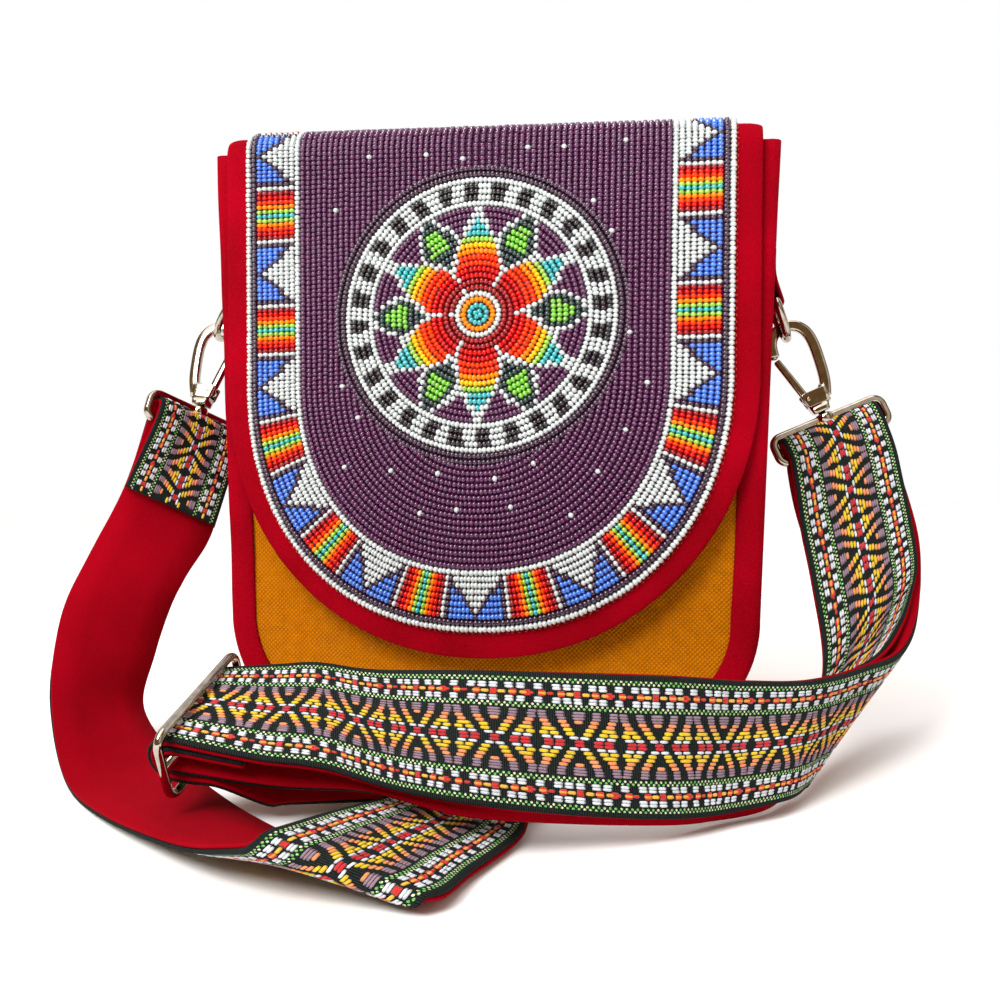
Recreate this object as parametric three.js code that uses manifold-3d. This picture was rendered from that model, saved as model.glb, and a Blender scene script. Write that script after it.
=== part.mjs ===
import * as THREE from 'three';
import Module from 'manifold-3d';

const wasm = await Module();
wasm.setup();

// driving sizes in millimetres, front faces -Y, floor is z = 0
const bodyHeight = 228;
const topSkew = 0.044;
const skewFrom = 196;
const skewTo = 232;
const halfWidthTop = 111;
const halfWidthLow = 102;
const cornerRadius = 46;
const depthLow = 66;
const depthTop = 46;
const clothWall = 1.6;
const panelBulge = 2.5;
const seamGap = 0.35;
const bindingReach = 1.9;
const bindingProud = 2.1;
const sagFade = 12;
const flapThick = 3.0;
const flapHalfTop = 106;
const flapHalfLow = 104.5;
const flapArcStart = 140;
const flapBottom = 31;
const flapTopInside = 232.6;
const flapFrontTop = 214;
const flapClear = 3.2;
const flapSpread = 3.0;
const spreadFrom = 150;
const spreadTo = 40;
const softFrom = 232;
const softTo = 190;
const arcSweep = 87;
const beadThick = 1.9;
const beadMargin = 10.5;
const beadBottom = 40.5;
const roundPower = 2.2;
const liningThick = 0.9;
const bandThick = 1.2;
const layerGap = 0.3;
const liningInset = 0.4;
const wireRadius = 1.6;
const hookRadius = 1.75;
const pinRadius = 0.9;
const pinHalf = 3.0;
const stemRadius = 1.5;
const headRadius = 2.8;
const gateHalf = 1.35;
const gateThick = 1.4;
const barrelRadius = 2.0;
const barrelBore = 1.25;
const baseHalf = 5.2;
const baseLow = 2.8;
const baseTop = 12.0;
const baseDepth = 3.4;
const slotLow = 6.4;
const slotEnd = 1.6;
const slotDepth = 1.75;
const cutPast = 2.0;
const stemLow = -3.2;
const stemTop = 4.0;
const headLow = -3.8;
const headTop = -2.4;
const bossRadius = 3.5;
const bossHalf = 2.0;
const bossBore = 1.9;
const ringCorner = 3.5;
const ringClear = 1.0;
const sliderCorner = 4.0;
const sliderClear = 2.2;

const v3 = (x, y, z) => new THREE.Vector3(x, y, z);
const mix = (a, b, t) => a + (b - a) * t;
const ease = (a, b, x) => {
  const t = Math.min(1, Math.max(0, (x - a) / (b - a)));
  return t * t * (3 - 2 * t);
};

// the top of the pouch slants: its left end stands higher than its right end
const slanted = (x, y, z) => v3(x, y, z - topSkew * x * ease(skewFrom, skewTo, z));

// closed mesh from points and triangles, turned outwards
function solid(points, faces) {
  let volume = 0;
  for (const [a, b, c] of faces) {
    volume += points[a].dot(points[b].clone().cross(points[c]));
  }
  const index = [];
  for (const [a, b, c] of faces) {
    if (volume > 0) index.push(a, b, c);
    else index.push(a, c, b);
  }
  const g = new THREE.BufferGeometry();
  const flat = points.flatMap((p) => [p.x, p.y, p.z]);
  g.setAttribute('position', new THREE.Float32BufferAttribute(flat, 3));
  g.setIndex(index);
  return g;
}

// wall between two faces given on the same grid of rows and columns
function wall(rows, cols, outer, inner) {
  const points = [];
  const faces = [];
  for (const side of [outer, inner]) {
    for (let i = 0; i <= rows; i++) {
      for (let j = 0; j <= cols; j++) points.push(side(i / rows, j / cols));
    }
  }
  const at = (k, i, j) => k * (rows + 1) * (cols + 1) + i * (cols + 1) + j;
  const quad = (a, b, c, d) => faces.push([a, b, c], [a, c, d]);
  for (let i = 0; i < rows; i++) {
    for (let j = 0; j < cols; j++) {
      quad(at(0, i, j), at(0, i + 1, j), at(0, i + 1, j + 1), at(0, i, j + 1));
      quad(at(1, i, j), at(1, i, j + 1), at(1, i + 1, j + 1), at(1, i + 1, j));
    }
  }
  for (let i = 0; i < rows; i++) {
    quad(at(0, i, 0), at(1, i, 0), at(1, i + 1, 0), at(0, i + 1, 0));
    quad(at(0, i, cols), at(0, i + 1, cols), at(1, i + 1, cols), at(1, i, cols));
  }
  for (let j = 0; j < cols; j++) {
    quad(at(0, 0, j), at(0, 0, j + 1), at(1, 0, j + 1), at(1, 0, j));
    quad(at(0, rows, j), at(1, rows, j), at(1, rows, j + 1), at(0, rows, j + 1));
  }
  return solid(points, faces);
}

// closed outline carried along stations, capped at both ends unless it joins itself; one side of the
// outline can have its quads cut the other way, so that stacked bands stay parallel where they twist
function sweep(sections, outline2d, joined, turnedSide = -1) {
  const n = sections[0].length;
  const points = sections.flat();
  const faces = [];
  const last = joined ? sections.length : sections.length - 1;
  for (let i = 0; i < last; i++) {
    const k = (i + 1) % sections.length;
    for (let j = 0; j < n; j++) {
      const m = (j + 1) % n;
      const [p, q, r, t] = [i * n + j, k * n + j, k * n + m, i * n + m];
      if (j === turnedSide) {
        faces.push([p, q, t], [q, r, t]);
      } else {
        faces.push([p, q, r], [p, r, t]);
      }
    }
  }
  if (!joined) {
    const cap = THREE.ShapeUtils.triangulateShape(outline2d, []);
    const end = (sections.length - 1) * n;
    const area = THREE.ShapeUtils.area(outline2d);
    for (const [a, b, c] of cap) {
      const same = THREE.ShapeUtils.area([outline2d[a], outline2d[b], outline2d[c]]) * area > 0;
      const [p, q, r] = same ? [a, b, c] : [a, c, b];
      faces.push([p, q, r], [end + p, end + r, end + q]);
    }
  }
  return solid(points, faces);
}

// round wire along a flat path with the given plane normal
function wire(path, normal, radius, sides, joined) {
  const ring2d = [];
  for (let j = 0; j < sides; j++) {
    const a = (2 * Math.PI * j) / sides;
    ring2d.push(new THREE.Vector2(Math.cos(a), Math.sin(a)));
  }
  const sections = path.map((p, i) => {
    const before = path[joined ? (i + path.length - 1) % path.length : Math.max(0, i - 1)];
    const after = path[joined ? (i + 1) % path.length : Math.min(path.length - 1, i + 1)];
    const side = after.clone().sub(before).cross(normal).normalize();
    return ring2d.map((q) => {
      return p.clone().addScaledVector(side, radius * q.x).addScaledVector(normal, radius * q.y);
    });
  });
  return sweep(sections, ring2d, joined);
}

function toManifold(g) {
  const vertProperties = new Float32Array(g.attributes.position.array);
  const triVerts = new Uint32Array(g.index.array);
  return new wasm.Manifold(new wasm.Mesh({ numProp: 3, vertProperties, triVerts }));
}

function fromManifold(m) {
  const mesh = m.getMesh();
  const g = new THREE.BufferGeometry();
  g.setAttribute('position', new THREE.Float32BufferAttribute(mesh.vertProperties, 3));
  g.setIndex(Array.from(mesh.triVerts));
  return g;
}

// drum along an axis between two ends
function drum(from, to, radius, sides) {
  const axis = to.clone().sub(from).normalize();
  const lean = Math.abs(axis.z) < 0.9 ? v3(0, 0, 1) : v3(1, 0, 0);
  const normal = lean.cross(axis).normalize();
  return wire([from, to], normal, radius, sides, false);
}

// pouch shape
function halfWidth(z) {
  if (z >= cornerRadius) {
    return mix(halfWidthLow, halfWidthTop, (z - cornerRadius) / (bodyHeight - cornerRadius));
  }
  const d = cornerRadius - Math.max(0, z);
  return halfWidthLow - cornerRadius + Math.sqrt(cornerRadius ** 2 - d ** 2);
}

const halfDepth = (z) => mix(depthLow, depthTop, z / bodyHeight) / 2;

// U outline from top left round the bottom to top right, moved outwards by o
function outline(t, o) {
  const side = bodyHeight - cornerRadius;
  const flat = 2 * (halfWidthLow - cornerRadius);
  const arc = (Math.PI / 2) * cornerRadius;
  const total = 2 * side + 2 * arc + flat;
  const mirrored = t > 0.5;
  const s = total * (mirrored ? 1 - t : t);
  let x;
  let z;
  let nx;
  let nz;
  if (s <= side) {
    z = bodyHeight - s;
    x = -halfWidth(z);
    nx = -1;
    nz = 0;
  } else if (s <= side + arc) {
    const a = (s - side) / cornerRadius;
    nx = -Math.cos(a);
    nz = -Math.sin(a);
    x = -(halfWidthLow - cornerRadius) + cornerRadius * nx;
    z = cornerRadius + cornerRadius * nz;
  } else {
    x = -(halfWidthLow - cornerRadius) + (s - side - arc);
    z = 0;
    nx = 0;
    nz = -1;
  }
  x += nx * o;
  z += nz * o;
  return mirrored ? [-x, z] : [x, z];
}

// stations along the U: close together at the corners only
const sideEnd = bodyHeight - cornerRadius;
const outlineTotal = 2 * sideEnd + Math.PI * cornerRadius + 2 * (halfWidthLow - cornerRadius);
const cornerEnd = sideEnd + (Math.PI / 2) * cornerRadius;
const outlineMarks = [];
for (let i = 0; i <= 4; i++) outlineMarks.push((sideEnd * i) / 4);
for (let i = 1; i <= 6; i++) outlineMarks.push(sideEnd + ((cornerEnd - sideEnd) * i) / 6);
outlineMarks.push(outlineTotal / 2);
const mirroredMarks = outlineMarks.slice(0, -1).reverse().map((s) => outlineTotal - s);
const marks = outlineMarks.concat(mirroredMarks).map((s) => s / outlineTotal);
const markAt = (t) => {
  const i = Math.round(t * (marks.length - 1));
  return marks[i];
};

// the edge strips reach below the seam, so the pouch is raised by as much
const lift = bindingReach;

// more than a third of a panel's rows lie in the lowest fifth, where the corners curve
const cornerRows = 0.35;
const cornerShare = 0.2;
const cornerPower = 1.6;
const softPower = 0.7;
function panel(sign, cols, rows, bulge) {
  const top = bodyHeight - 1;
  const inset = 0.4;
  const face = (depthIn) => (a, b) => {
    const low = cornerShare * Math.min(1, a / cornerRows) ** cornerPower;
    const high = (1 - cornerShare) * (Math.max(0, a - cornerRows) / (1 - cornerRows));
    const z = inset + (top - inset) * (low + high);
    const u = 2 * b - 1;
    const x = u * (halfWidth(z) - inset);
    const soft = bulge * (1 - u * u) ** 2 * Math.sin(Math.PI * Math.min(1, z / top)) ** softPower;
    return slanted(x, sign * (halfDepth(z) + soft - depthIn), z + lift);
  };
  return wall(rows, cols, face(0), face(clothWall));
}

// bottom of the gusset sags between the edge strips until it lies on the ground
const gussetColumns = [
  { across: 0.0, sag: 0 },
  { across: 0.1, sag: 0 },
  { across: 0.25, sag: 1 },
  { across: 0.75, sag: 1 },
  { across: 0.9, sag: 0 },
  { across: 1.0, sag: 0 },
];

function gussetWall() {
  const spans = gussetColumns.length - 1;
  const face = (o) => (a, b) => {
    const t = markAt(a);
    const column = gussetColumns[Math.round(b * spans)];
    const level = Math.max(0, 1 - outline(t, 0)[1] / sagFade);
    const [x, z] = outline(t, o + column.sag * level * bindingReach);
    const room = halfDepth(Math.max(0, z)) - clothWall - seamGap;
    return slanted(x, (2 * column.across - 1) * room, z + lift);
  };
  return wall(marks.length - 1, spans, face(0), face(-clothWall));
}

// edge strip: column o runs outwards from the seam, column f stands proud of the panel
const bindingProfile = [
  { o: -8.6, f: 0.35 },
  { o: -8.4, f: 1.3 },
  { o: -4.2, f: bindingProud },
  { o: 0.2, f: 1.8 },
  { o: 1.5, f: 0.7 },
  { o: bindingReach, f: -1.5 },
  { o: bindingReach, f: -5.5 },
  { o: 0.35, f: -5.5 },
  { o: 0.35, f: 0.35 },
];

function binding(sign) {
  const profile2d = bindingProfile.map((p) => new THREE.Vector2(p.o, p.f));
  const sections = marks.map((t) => bindingProfile.map((p) => {
    const [x, z] = outline(t, p.o);
    const depth = halfDepth(Math.max(0, outline(t, 0)[1]));
    return slanted(x, sign * (depth + p.f), z + lift);
  }));
  return sweep(sections, profile2d, false);
}

// flap: run of its inner face from the back, over the top, down the front
const flapFront = (z) => -(halfDepth(z) + flapClear + flapSpread * ease(spreadFrom, spreadTo, z));
const flapSide = (z) => {
  const share = Math.max(0, z - flapArcStart) / (bodyHeight - flapArcStart);
  return mix(flapHalfLow, flapHalfTop, share);
};
// the tail is sewn flat against the back edge strip
const flapTail = (z) => halfDepth(z) + bindingProud + seamGap;
const flapSpine = [
  { y: flapTail(190), z: 190 },
  { y: flapTail(210), z: 210 },
  { y: flapTail(221), z: 221 },
  { y: 25.4, z: 227.6 },
  { y: 22.4, z: 231.6 },
  { y: 16.0, z: flapTopInside },
  { y: 0.0, z: flapTopInside + 0.6 },
  { y: -16.0, z: flapTopInside },
  { y: -23.2, z: 231.6 },
  { y: -27.0, z: 227.6 },
  { y: -28.0, z: 221 },
];

// centre line of the flap as (y, z, half width) for a margin taken off its outline
function flapRow(a, spineRows, frontRows, arcRows, margin, low, first) {
  const i = Math.round(a * (spineRows + frontRows + arcRows));
  if (i < spineRows) {
    const p = flapSpine[first + i];
    return { y: p.y, z: p.z, w: flapHalfTop - margin };
  }
  if (i < spineRows + frontRows) {
    const z = mix(flapFrontTop, flapArcStart, (i - spineRows) / frontRows);
    return { y: flapFront(z), z, w: flapSide(z) - margin };
  }
  const angle = ((i - spineRows - frontRows) / arcRows) * THREE.MathUtils.degToRad(arcSweep);
  const z = flapArcStart - (flapArcStart - low) * Math.sin(angle) ** (2 / roundPower);
  const w = (flapHalfLow - margin) * Math.cos(angle) ** (2 / roundPower);
  return { y: flapFront(z), z, w };
}

function flapLike(cols, frontRows, arcRows, margin, low, first, inside, thick) {
  const spineRows = flapSpine.length - first;
  const count = spineRows + frontRows + arcRows;
  const row = (i) => flapRow(i / count, spineRows, frontRows, arcRows, margin, low, first);
  const face = (off) => (a, b) => {
    const i = Math.round(a * count);
    const p = row(i);
    const q0 = row(Math.max(0, i - 1));
    const q1 = row(Math.min(count, i + 1));
    const len = Math.hypot(q1.y - q0.y, q1.z - q0.z);
    const ny = (q1.z - q0.z) / len;
    const nz = -(q1.y - q0.y) / len;
    const u = 2 * b - 1;
    const x = u * p.w;
    const front = p.y < 0 ? ease(softFrom, softTo, p.z) : 0;
    const across = x / flapHalfTop;
    const soft = panelBulge * (1 - across * across) ** 2 * front;
    return slanted(x, p.y + ny * off - soft, p.z + nz * off + lift);
  };
  return wall(count, cols, face(inside + thick), face(inside));
}

// strap route, rows from the left ring to the slider: two edges a and b of the red face
const looseRoute = [
  { at: 'left ring', ax: -141.0, ay: -29.0, az: 128.5, bx: -122.0, by: 4.0, bz: 114.5 },
  { at: 'left drop', ax: -150.0, ay: -34.0, az: 98.5, bx: -120.5, by: -14.0, bz: 80.8 },
  { at: 'left drop', ax: -154.6, ay: -50.7, az: 73.2, bx: -121.8, by: -35.1, bz: 62.6 },
  { at: 'left drop', ax: -153.5, ay: -68.8, az: 54.6, bx: -124.7, by: -42.8, bz: 50.0 },
  { at: 'left drop', ax: -147.2, ay: -84.9, az: 36.5, bx: -125.7, by: -53.2, bz: 32.0 },
  { at: 'left drop', ax: -137.5, ay: -99.3, az: 20.5, bx: -124.2, by: -63.1, bz: 14.9 },
  { at: 'floor crease', ax: -120.0, ay: -118.3, az: 4.2, bx: -96.2, by: -89.2, bz: 4.0 },
  { at: 'floor run', ax: -90.1, ay: -146.0, az: 3.8, bx: -56.5, by: -130.3, bz: 3.5 },
  { at: 'floor run', ax: -50.8, ay: -175.0, az: 7.5, bx: -21.8, by: -159.1, bz: 3.5 },
  { at: 'roll under', ax: -30.1, ay: -187.3, az: 12.0, bx: 3.4, by: -178.7, bz: 3.6 },
  { at: 'roll over', ax: -18.3, ay: -190.0, az: 15.0, bx: 22.2, by: -191.3, bz: 3.2 },
  { at: 'loop front', ax: -13.4, ay: -165.6, az: 11.5, bx: 27.1, by: -171.0, bz: 1.5 },
  { at: 'loop below', ax: -6.0, ay: -134.3, az: 7.0, bx: 34.4, by: -142.2, bz: 1.5 },
  { at: 'loop end', ax: 0.5, ay: -111.8, az: 8.0, bx: 34.7, by: -127.7, bz: 7.0 },
  { at: 'loop end', ax: 5.3, ay: -94.7, az: 7.0, bx: 37.9, by: -115.8, bz: 6.0 },
  { at: 'loop end', ax: -4.3, ay: -86.4, az: 4.2, bx: 24.0, by: -111.4, bz: 3.4 },
  { at: 'hidden run', ax: -20.0, ay: -82.0, az: 6.0, bx: -2.0, by: -114.0, bz: 3.2 },
  { at: 'hidden run', ax: -30.0, ay: -88.0, az: 15.0, bx: -20.0, by: -121.0, bz: 3.6 },
  { at: 'to slider', ax: -46.0, ay: -104.0, az: 25.0, bx: -41.0, by: -137.5, bz: 6.0 },
];

// rows from the slider to the right ring: middle of the doubled strap
const pairRoute = [
  { at: 'slider', ax: -62.9, ay: -114.2, az: 34.5, bx: -65.7, by: -148.4, bz: 19.5 },
  { at: 'front run', ax: -43.4, ay: -114.4, az: 37.0, bx: -38.1, by: -146.3, bz: 15.5 },
  { at: 'front run', ax: -22.6, ay: -117.5, az: 40.0, bx: -12.3, by: -147.0, bz: 15.0 },
  { at: 'front run', ax: 14.9, ay: -138.7, az: 45.4, bx: 19.2, by: -156.3, bz: 14.0 },
  { at: 'front run', ax: 44.6, ay: -138.0, az: 46.0, bx: 45.8, by: -147.0, bz: 10.0 },
  { at: 'front run', ax: 70.3, ay: -129.8, az: 44.7, bx: 72.7, by: -132.4, bz: 6.0 },
  { at: 'front run', ax: 93.6, ay: -107.0, az: 39.6, bx: 88.4, by: -118.6, bz: 4.0 },
  { at: 'turn', ax: 112.0, ay: -91.0, az: 37.0, bx: 102.0, by: -107.6, bz: 4.0 },
  { at: 'turn', ax: 130.5, ay: -66.0, az: 36.8, bx: 108.6, by: -96.0, bz: 4.5 },
  { at: 'turn', ax: 146.5, ay: -42.6, az: 38.8, bx: 111.2, by: -89.2, bz: 6.5 },
  { at: 'turn', ax: 156.2, ay: -24.3, az: 46.0, bx: 116.6, by: -64.7, bz: 10.0 },
  { at: 'turn', ax: 162.2, ay: -9.9, az: 57.8, bx: 123.6, by: -41.9, bz: 20.0 },
  { at: 'right rise', ax: 164.5, ay: -1.0, az: 70.6, bx: 126.9, by: -27.0, bz: 37.2 },
  { at: 'right rise', ax: 163.1, ay: 5.0, az: 86.3, bx: 124.3, by: -13.0, bz: 61.5 },
  { at: 'right rise', ax: 158.7, ay: 8.0, az: 106.0, bx: 119.8, by: -4.0, bz: 84.0 },
  { at: 'right ring', ax: 153.4, ay: 8.4, az: 122.4, bx: 116.4, by: 0.6, bz: 107.0 },
];

// smooth run through the rows, with the side normal at each edge
function runThrough(rows, steps) {
  const curve = (k) => {
    const pts = rows.map((r) => v3(r[k + 'x'], r[k + 'y'], r[k + 'z']));
    return (t) => {
      const f = t * (pts.length - 1);
      const i = Math.min(pts.length - 2, Math.floor(f));
      const u = f - i;
      const p0 = pts[Math.max(0, i - 1)];
      const p1 = pts[i];
      const p2 = pts[i + 1];
      const p3 = pts[Math.min(pts.length - 1, i + 2)];
      const out = v3(0, 0, 0);
      const m1 = p2.clone().sub(p0).multiplyScalar(0.5);
      const m2 = p3.clone().sub(p1).multiplyScalar(0.5);
      out.addScaledVector(p1, 2 * u ** 3 - 3 * u ** 2 + 1);
      out.addScaledVector(m1, u ** 3 - 2 * u ** 2 + u);
      out.addScaledVector(p2, -2 * u ** 3 + 3 * u ** 2);
      out.addScaledVector(m2, u ** 3 - u ** 2);
      return out;
    };
  };
  const edgeA = curve('a');
  const edgeB = curve('b');
  const out = [];
  const h = 1e-3;
  for (let i = 0; i <= steps; i++) {
    const t = i / steps;
    const a = edgeA(t);
    const b = edgeB(t);
    const across = b.clone().sub(a);
    const t0 = Math.max(0, t - h);
    const t1 = Math.min(1, t + h);
    const da = edgeA(t1).sub(edgeA(t0));
    const db = edgeB(t1).sub(edgeB(t0));
    const mid = da.clone().normalize().add(db.clone().normalize());
    const ta = da.normalize().multiplyScalar(0.6).addScaledVector(mid, 0.2);
    const tb = db.normalize().multiplyScalar(0.6).addScaledVector(mid, 0.2);
    const na = across.clone().cross(ta).normalize();
    const nb = across.clone().cross(tb).normalize();
    out.push({ a, b, na, nb });
  }
  let length = 0;
  out.forEach((s, i) => {
    if (i > 0) {
      const m0 = out[i - 1].a.clone().add(out[i - 1].b).multiplyScalar(0.5);
      length += s.a.clone().add(s.b).multiplyScalar(0.5).distanceTo(m0);
    }
    s.along = length;
  });
  return out;
}

const loose = runThrough(looseRoute, 72);
const pair = runThrough(pairRoute, 56);

const moved = (s, off, sign) => ({
  a: s.a.clone().addScaledVector(s.na, off),
  b: s.b.clone().addScaledVector(s.nb, off),
  na: s.na.clone().multiplyScalar(sign),
  nb: s.nb.clone().multiplyScalar(sign),
});

// frame of the strap where it ends on a bar: across, face normal, outward run
function endFrame(s, inward) {
  const across = s.b.clone().sub(s.a).normalize();
  const normal = s.na.clone().add(s.nb);
  normal.addScaledVector(across, -normal.dot(across)).normalize();
  const outward = across.clone().cross(normal).normalize();
  const mid = s.a.clone().add(s.b).multiplyScalar(0.5);
  const back = inward.a.clone().add(inward.b).multiplyScalar(0.5);
  if (outward.dot(mid.clone().sub(back)) < 0) outward.negate();
  return { across, normal, outward, mid, half: s.a.distanceTo(s.b) / 2 };
}

// half turn round a bar, from one face side to the other
function wrap(s, frame, radius, from) {
  const out = [];
  for (let i = 1; i < 8; i++) {
    const angle = (Math.PI * i) / 8;
    const n = frame.normal.clone().multiplyScalar(from * Math.cos(angle));
    n.addScaledVector(frame.outward, Math.sin(angle));
    out.push({
      a: s.a.clone().addScaledVector(n, radius),
      b: s.b.clone().addScaledVector(n, radius),
      na: n.clone(),
      nb: n.clone(),
    });
  }
  return out;
}

const ringBend = 2.3;
const tongueSlider = 24;
const tongueLeft = 36;
const sliderBend = 5.3;
const innerBend = 2.1;
const pairTotal = pair[pair.length - 1].along;
const runOffset = (s, sliderSide) => {
  const nearSlider = (sliderSide - 1.0) * (1 - ease(tongueSlider + 6, tongueSlider + 42, s.along));
  const nearRing = (ringBend - 1.0) * ease(pairTotal - 30, pairTotal - 10, s.along);
  return 1.0 + nearSlider + nearRing;
};

const rightFrame = endFrame(pair[pair.length - 1], pair[pair.length - 3]);
const sliderFrame = endFrame(pair[0], pair[2]);
const leftShift = (s) => moved(s, -ringBend, 1);
const leftFrame = endFrame(leftShift(loose[0]), leftShift(loose[2]));

const strapPath = [];
const leftTongue = loose.filter((s) => s.along <= tongueLeft).reverse();
for (const s of leftTongue) {
  const gap = mix(2 * ringBend, 0.5, ease(6, tongueLeft, s.along));
  strapPath.push(moved(s, -gap, -1));
}
strapPath.push(...wrap(leftShift(loose[0]), leftFrame, ringBend, -1));
strapPath.push(...loose.map((s) => moved(s, 0, 1)));
strapPath.push(...pair.slice(0, 3).reverse().map((s) => moved(s, -sliderBend, -1)));
strapPath.push(...wrap(pair[0], sliderFrame, sliderBend, -1));
strapPath.push(...pair.map((s) => moved(s, runOffset(s, sliderBend), 1)));
strapPath.push(...wrap(pair[pair.length - 1], rightFrame, ringBend, 1));
strapPath.push(...pair.slice().reverse().map((s) => moved(s, -runOffset(s, innerBend), -1)));
strapPath.push(...wrap(pair[0], sliderFrame, innerBend, -1));
const sliderTongue = pair.filter((s) => s.along <= tongueSlider);
strapPath.push(...sliderTongue.map((s) => moved(s, innerBend, 1)));

function strapLayer(low, high, narrow) {
  const sections = strapPath.map((s) => {
    const across = s.b.clone().sub(s.a).normalize().multiplyScalar(narrow);
    const a = s.a.clone().add(across);
    const b = s.b.clone().sub(across);
    return [
      a.clone().addScaledVector(s.na, low),
      b.clone().addScaledVector(s.nb, low),
      b.clone().addScaledVector(s.nb, high),
      a.clone().addScaledVector(s.na, high),
    ];
  });
  const square = [[0, 0], [1, 0], [1, 1], [0, 1]].map((p) => new THREE.Vector2(p[0], p[1]));
  const highSide = 2;
  return sweep(sections, square, false, highSide);
}

// rounded rectangle path in the plane of two unit directions
function roundedPath(centre, e1, e2, half1, half2, radius, perCorner) {
  const out = [];
  const corners = [[1, 1, 0], [-1, 1, 90], [-1, -1, 180], [1, -1, 270]];
  for (const [c1, c2, start] of corners) {
    for (let i = 0; i <= perCorner; i++) {
      const a = THREE.MathUtils.degToRad(start + (90 * i) / perCorner);
      const p = centre.clone();
      p.addScaledVector(e1, c1 * (half1 - radius) + radius * Math.cos(a));
      p.addScaledVector(e2, c2 * (half2 - radius) + radius * Math.sin(a));
      out.push(p);
    }
  }
  return out;
}

// rectangular ring: far bar lies in the strap fold, near bar carries the swivel eye
const barInside = 1.2;
const eyeOut = 9.6;
function strapRing(frame) {
  const { across, normal, outward, mid, half } = frame;
  const half2 = (barInside + eyeOut) / 2;
  const centre = mid.clone().addScaledVector(outward, (eyeOut - barInside) / 2);
  const half1 = half + ringClear + wireRadius;
  const path = roundedPath(centre, across, outward, half1, half2, ringCorner, 3);
  const eye = mid.clone().addScaledVector(outward, eyeOut);
  const along = (k) => eye.clone().addScaledVector(outward, k);
  const loop = toManifold(wire(path, normal, wireRadius, 8, true));
  const boss = toManifold(drum(along(-bossHalf), along(bossHalf), bossRadius, 14));
  const hole = toManifold(drum(along(-2 * bossHalf), along(2 * bossHalf), bossBore, 10));
  return fromManifold(loop.add(boss).subtract(hole));
}

// snap hook, in its own plane: column w across, column h up from the swivel eye
const hookPath = [
  { w: 3.6, h: 8.5 },
  { w: 6.6, h: 15.5 },
  { w: 7.8, h: 24.0 },
  { w: 7.6, h: 31.0 },
  { w: 5.6, h: 36.6 },
  { w: 2.6, h: 39.4 },
  { w: -0.6, h: 40.0 },
  { w: -4.0, h: 38.6 },
  { w: -6.6, h: 35.4 },
  { w: -7.6, h: 31.2 },
];
const gatePivot = { w: -3.0, h: 9.4 };
const gateTip = { w: -7.4, h: 28.7 };
const hookCrown = 40.0;

// the hook swivels in its eye until its back lies towards the given direction
function hookBasis(frame, back) {
  const h = frame.outward;
  const w = back.clone().addScaledVector(h, -back.dot(h)).normalize();
  const q = w.clone().cross(h).normalize();
  const eye = frame.mid.clone().addScaledVector(h, eyeOut);
  const at = (pw, ph, pq) => {
    return eye.clone().addScaledVector(w, pw).addScaledVector(h, ph).addScaledVector(q, pq);
  };
  return { w, h, q, eye, at };
}

// straight block along local axes, from low corner to high corner
function block(basis, low, high) {
  const corners = [[0, 0], [1, 0], [1, 1], [0, 1]];
  const square = corners.map((c) => new THREE.Vector2(c[0], c[1]));
  const section = (ph) => corners.map(([c, d]) => {
    return basis.at(mix(low[0], high[0], c), ph, mix(low[2], high[2], d));
  });
  return sweep([section(low[1]), section(high[1])], square, false);
}

// round piece on the gate's pivot, the same length to both sides
function pivotDrum(basis, half, radius, sides) {
  const end = (k) => basis.at(gatePivot.w, gatePivot.h, k * half);
  return drum(end(-1), end(1), radius, sides);
}

function snapHook(basis) {
  const { at, q } = basis;
  const bow = toManifold(wire(hookPath.map((p) => at(p.w, p.h, 0)), q, hookRadius, 8, false));
  const base = toManifold(block(basis, [-baseHalf, baseLow, -baseDepth], [baseHalf, baseTop, baseDepth]));
  const slotFrom = [-baseHalf - cutPast, slotLow, -slotDepth];
  const slot = toManifold(block(basis, slotFrom, [slotEnd, baseTop + cutPast, slotDepth]));
  const pin = toManifold(pivotDrum(basis, pinHalf, pinRadius, 8));
  const stem = toManifold(drum(at(0, stemLow, 0), at(0, stemTop, 0), stemRadius, 10));
  const head = toManifold(drum(at(0, headLow, 0), at(0, headTop, 0), headRadius, 10));
  return fromManifold(base.subtract(slot).add(bow).add(pin).add(stem).add(head));
}

function hookGate(basis) {
  const { at } = basis;
  const dw = gateTip.w - gatePivot.w;
  const dh = gateTip.h - gatePivot.h;
  const len = Math.hypot(dw, dh);
  const sw = dh / len;
  const sh = -dw / len;
  const corner = (p, k, pq) => at(p.w + sw * k, p.h + sh * k, pq);
  const ring = (pq) => [
    corner(gatePivot, -gateThick, pq),
    corner(gatePivot, gateThick, pq),
    corner(gateTip, gateThick, pq),
    corner(gateTip, -gateThick, pq),
  ];
  const square = [[0, 0], [1, 0], [1, 1], [0, 1]].map((p) => new THREE.Vector2(p[0], p[1]));
  const bar = toManifold(sweep([ring(-gateHalf), ring(gateHalf)], square, false));
  const barrel = toManifold(pivotDrum(basis, gateHalf, barrelRadius, 12));
  const hole = toManifold(pivotDrum(basis, pinHalf, barrelBore, 10));
  return fromManifold(bar.add(barrel).subtract(hole));
}

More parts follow.
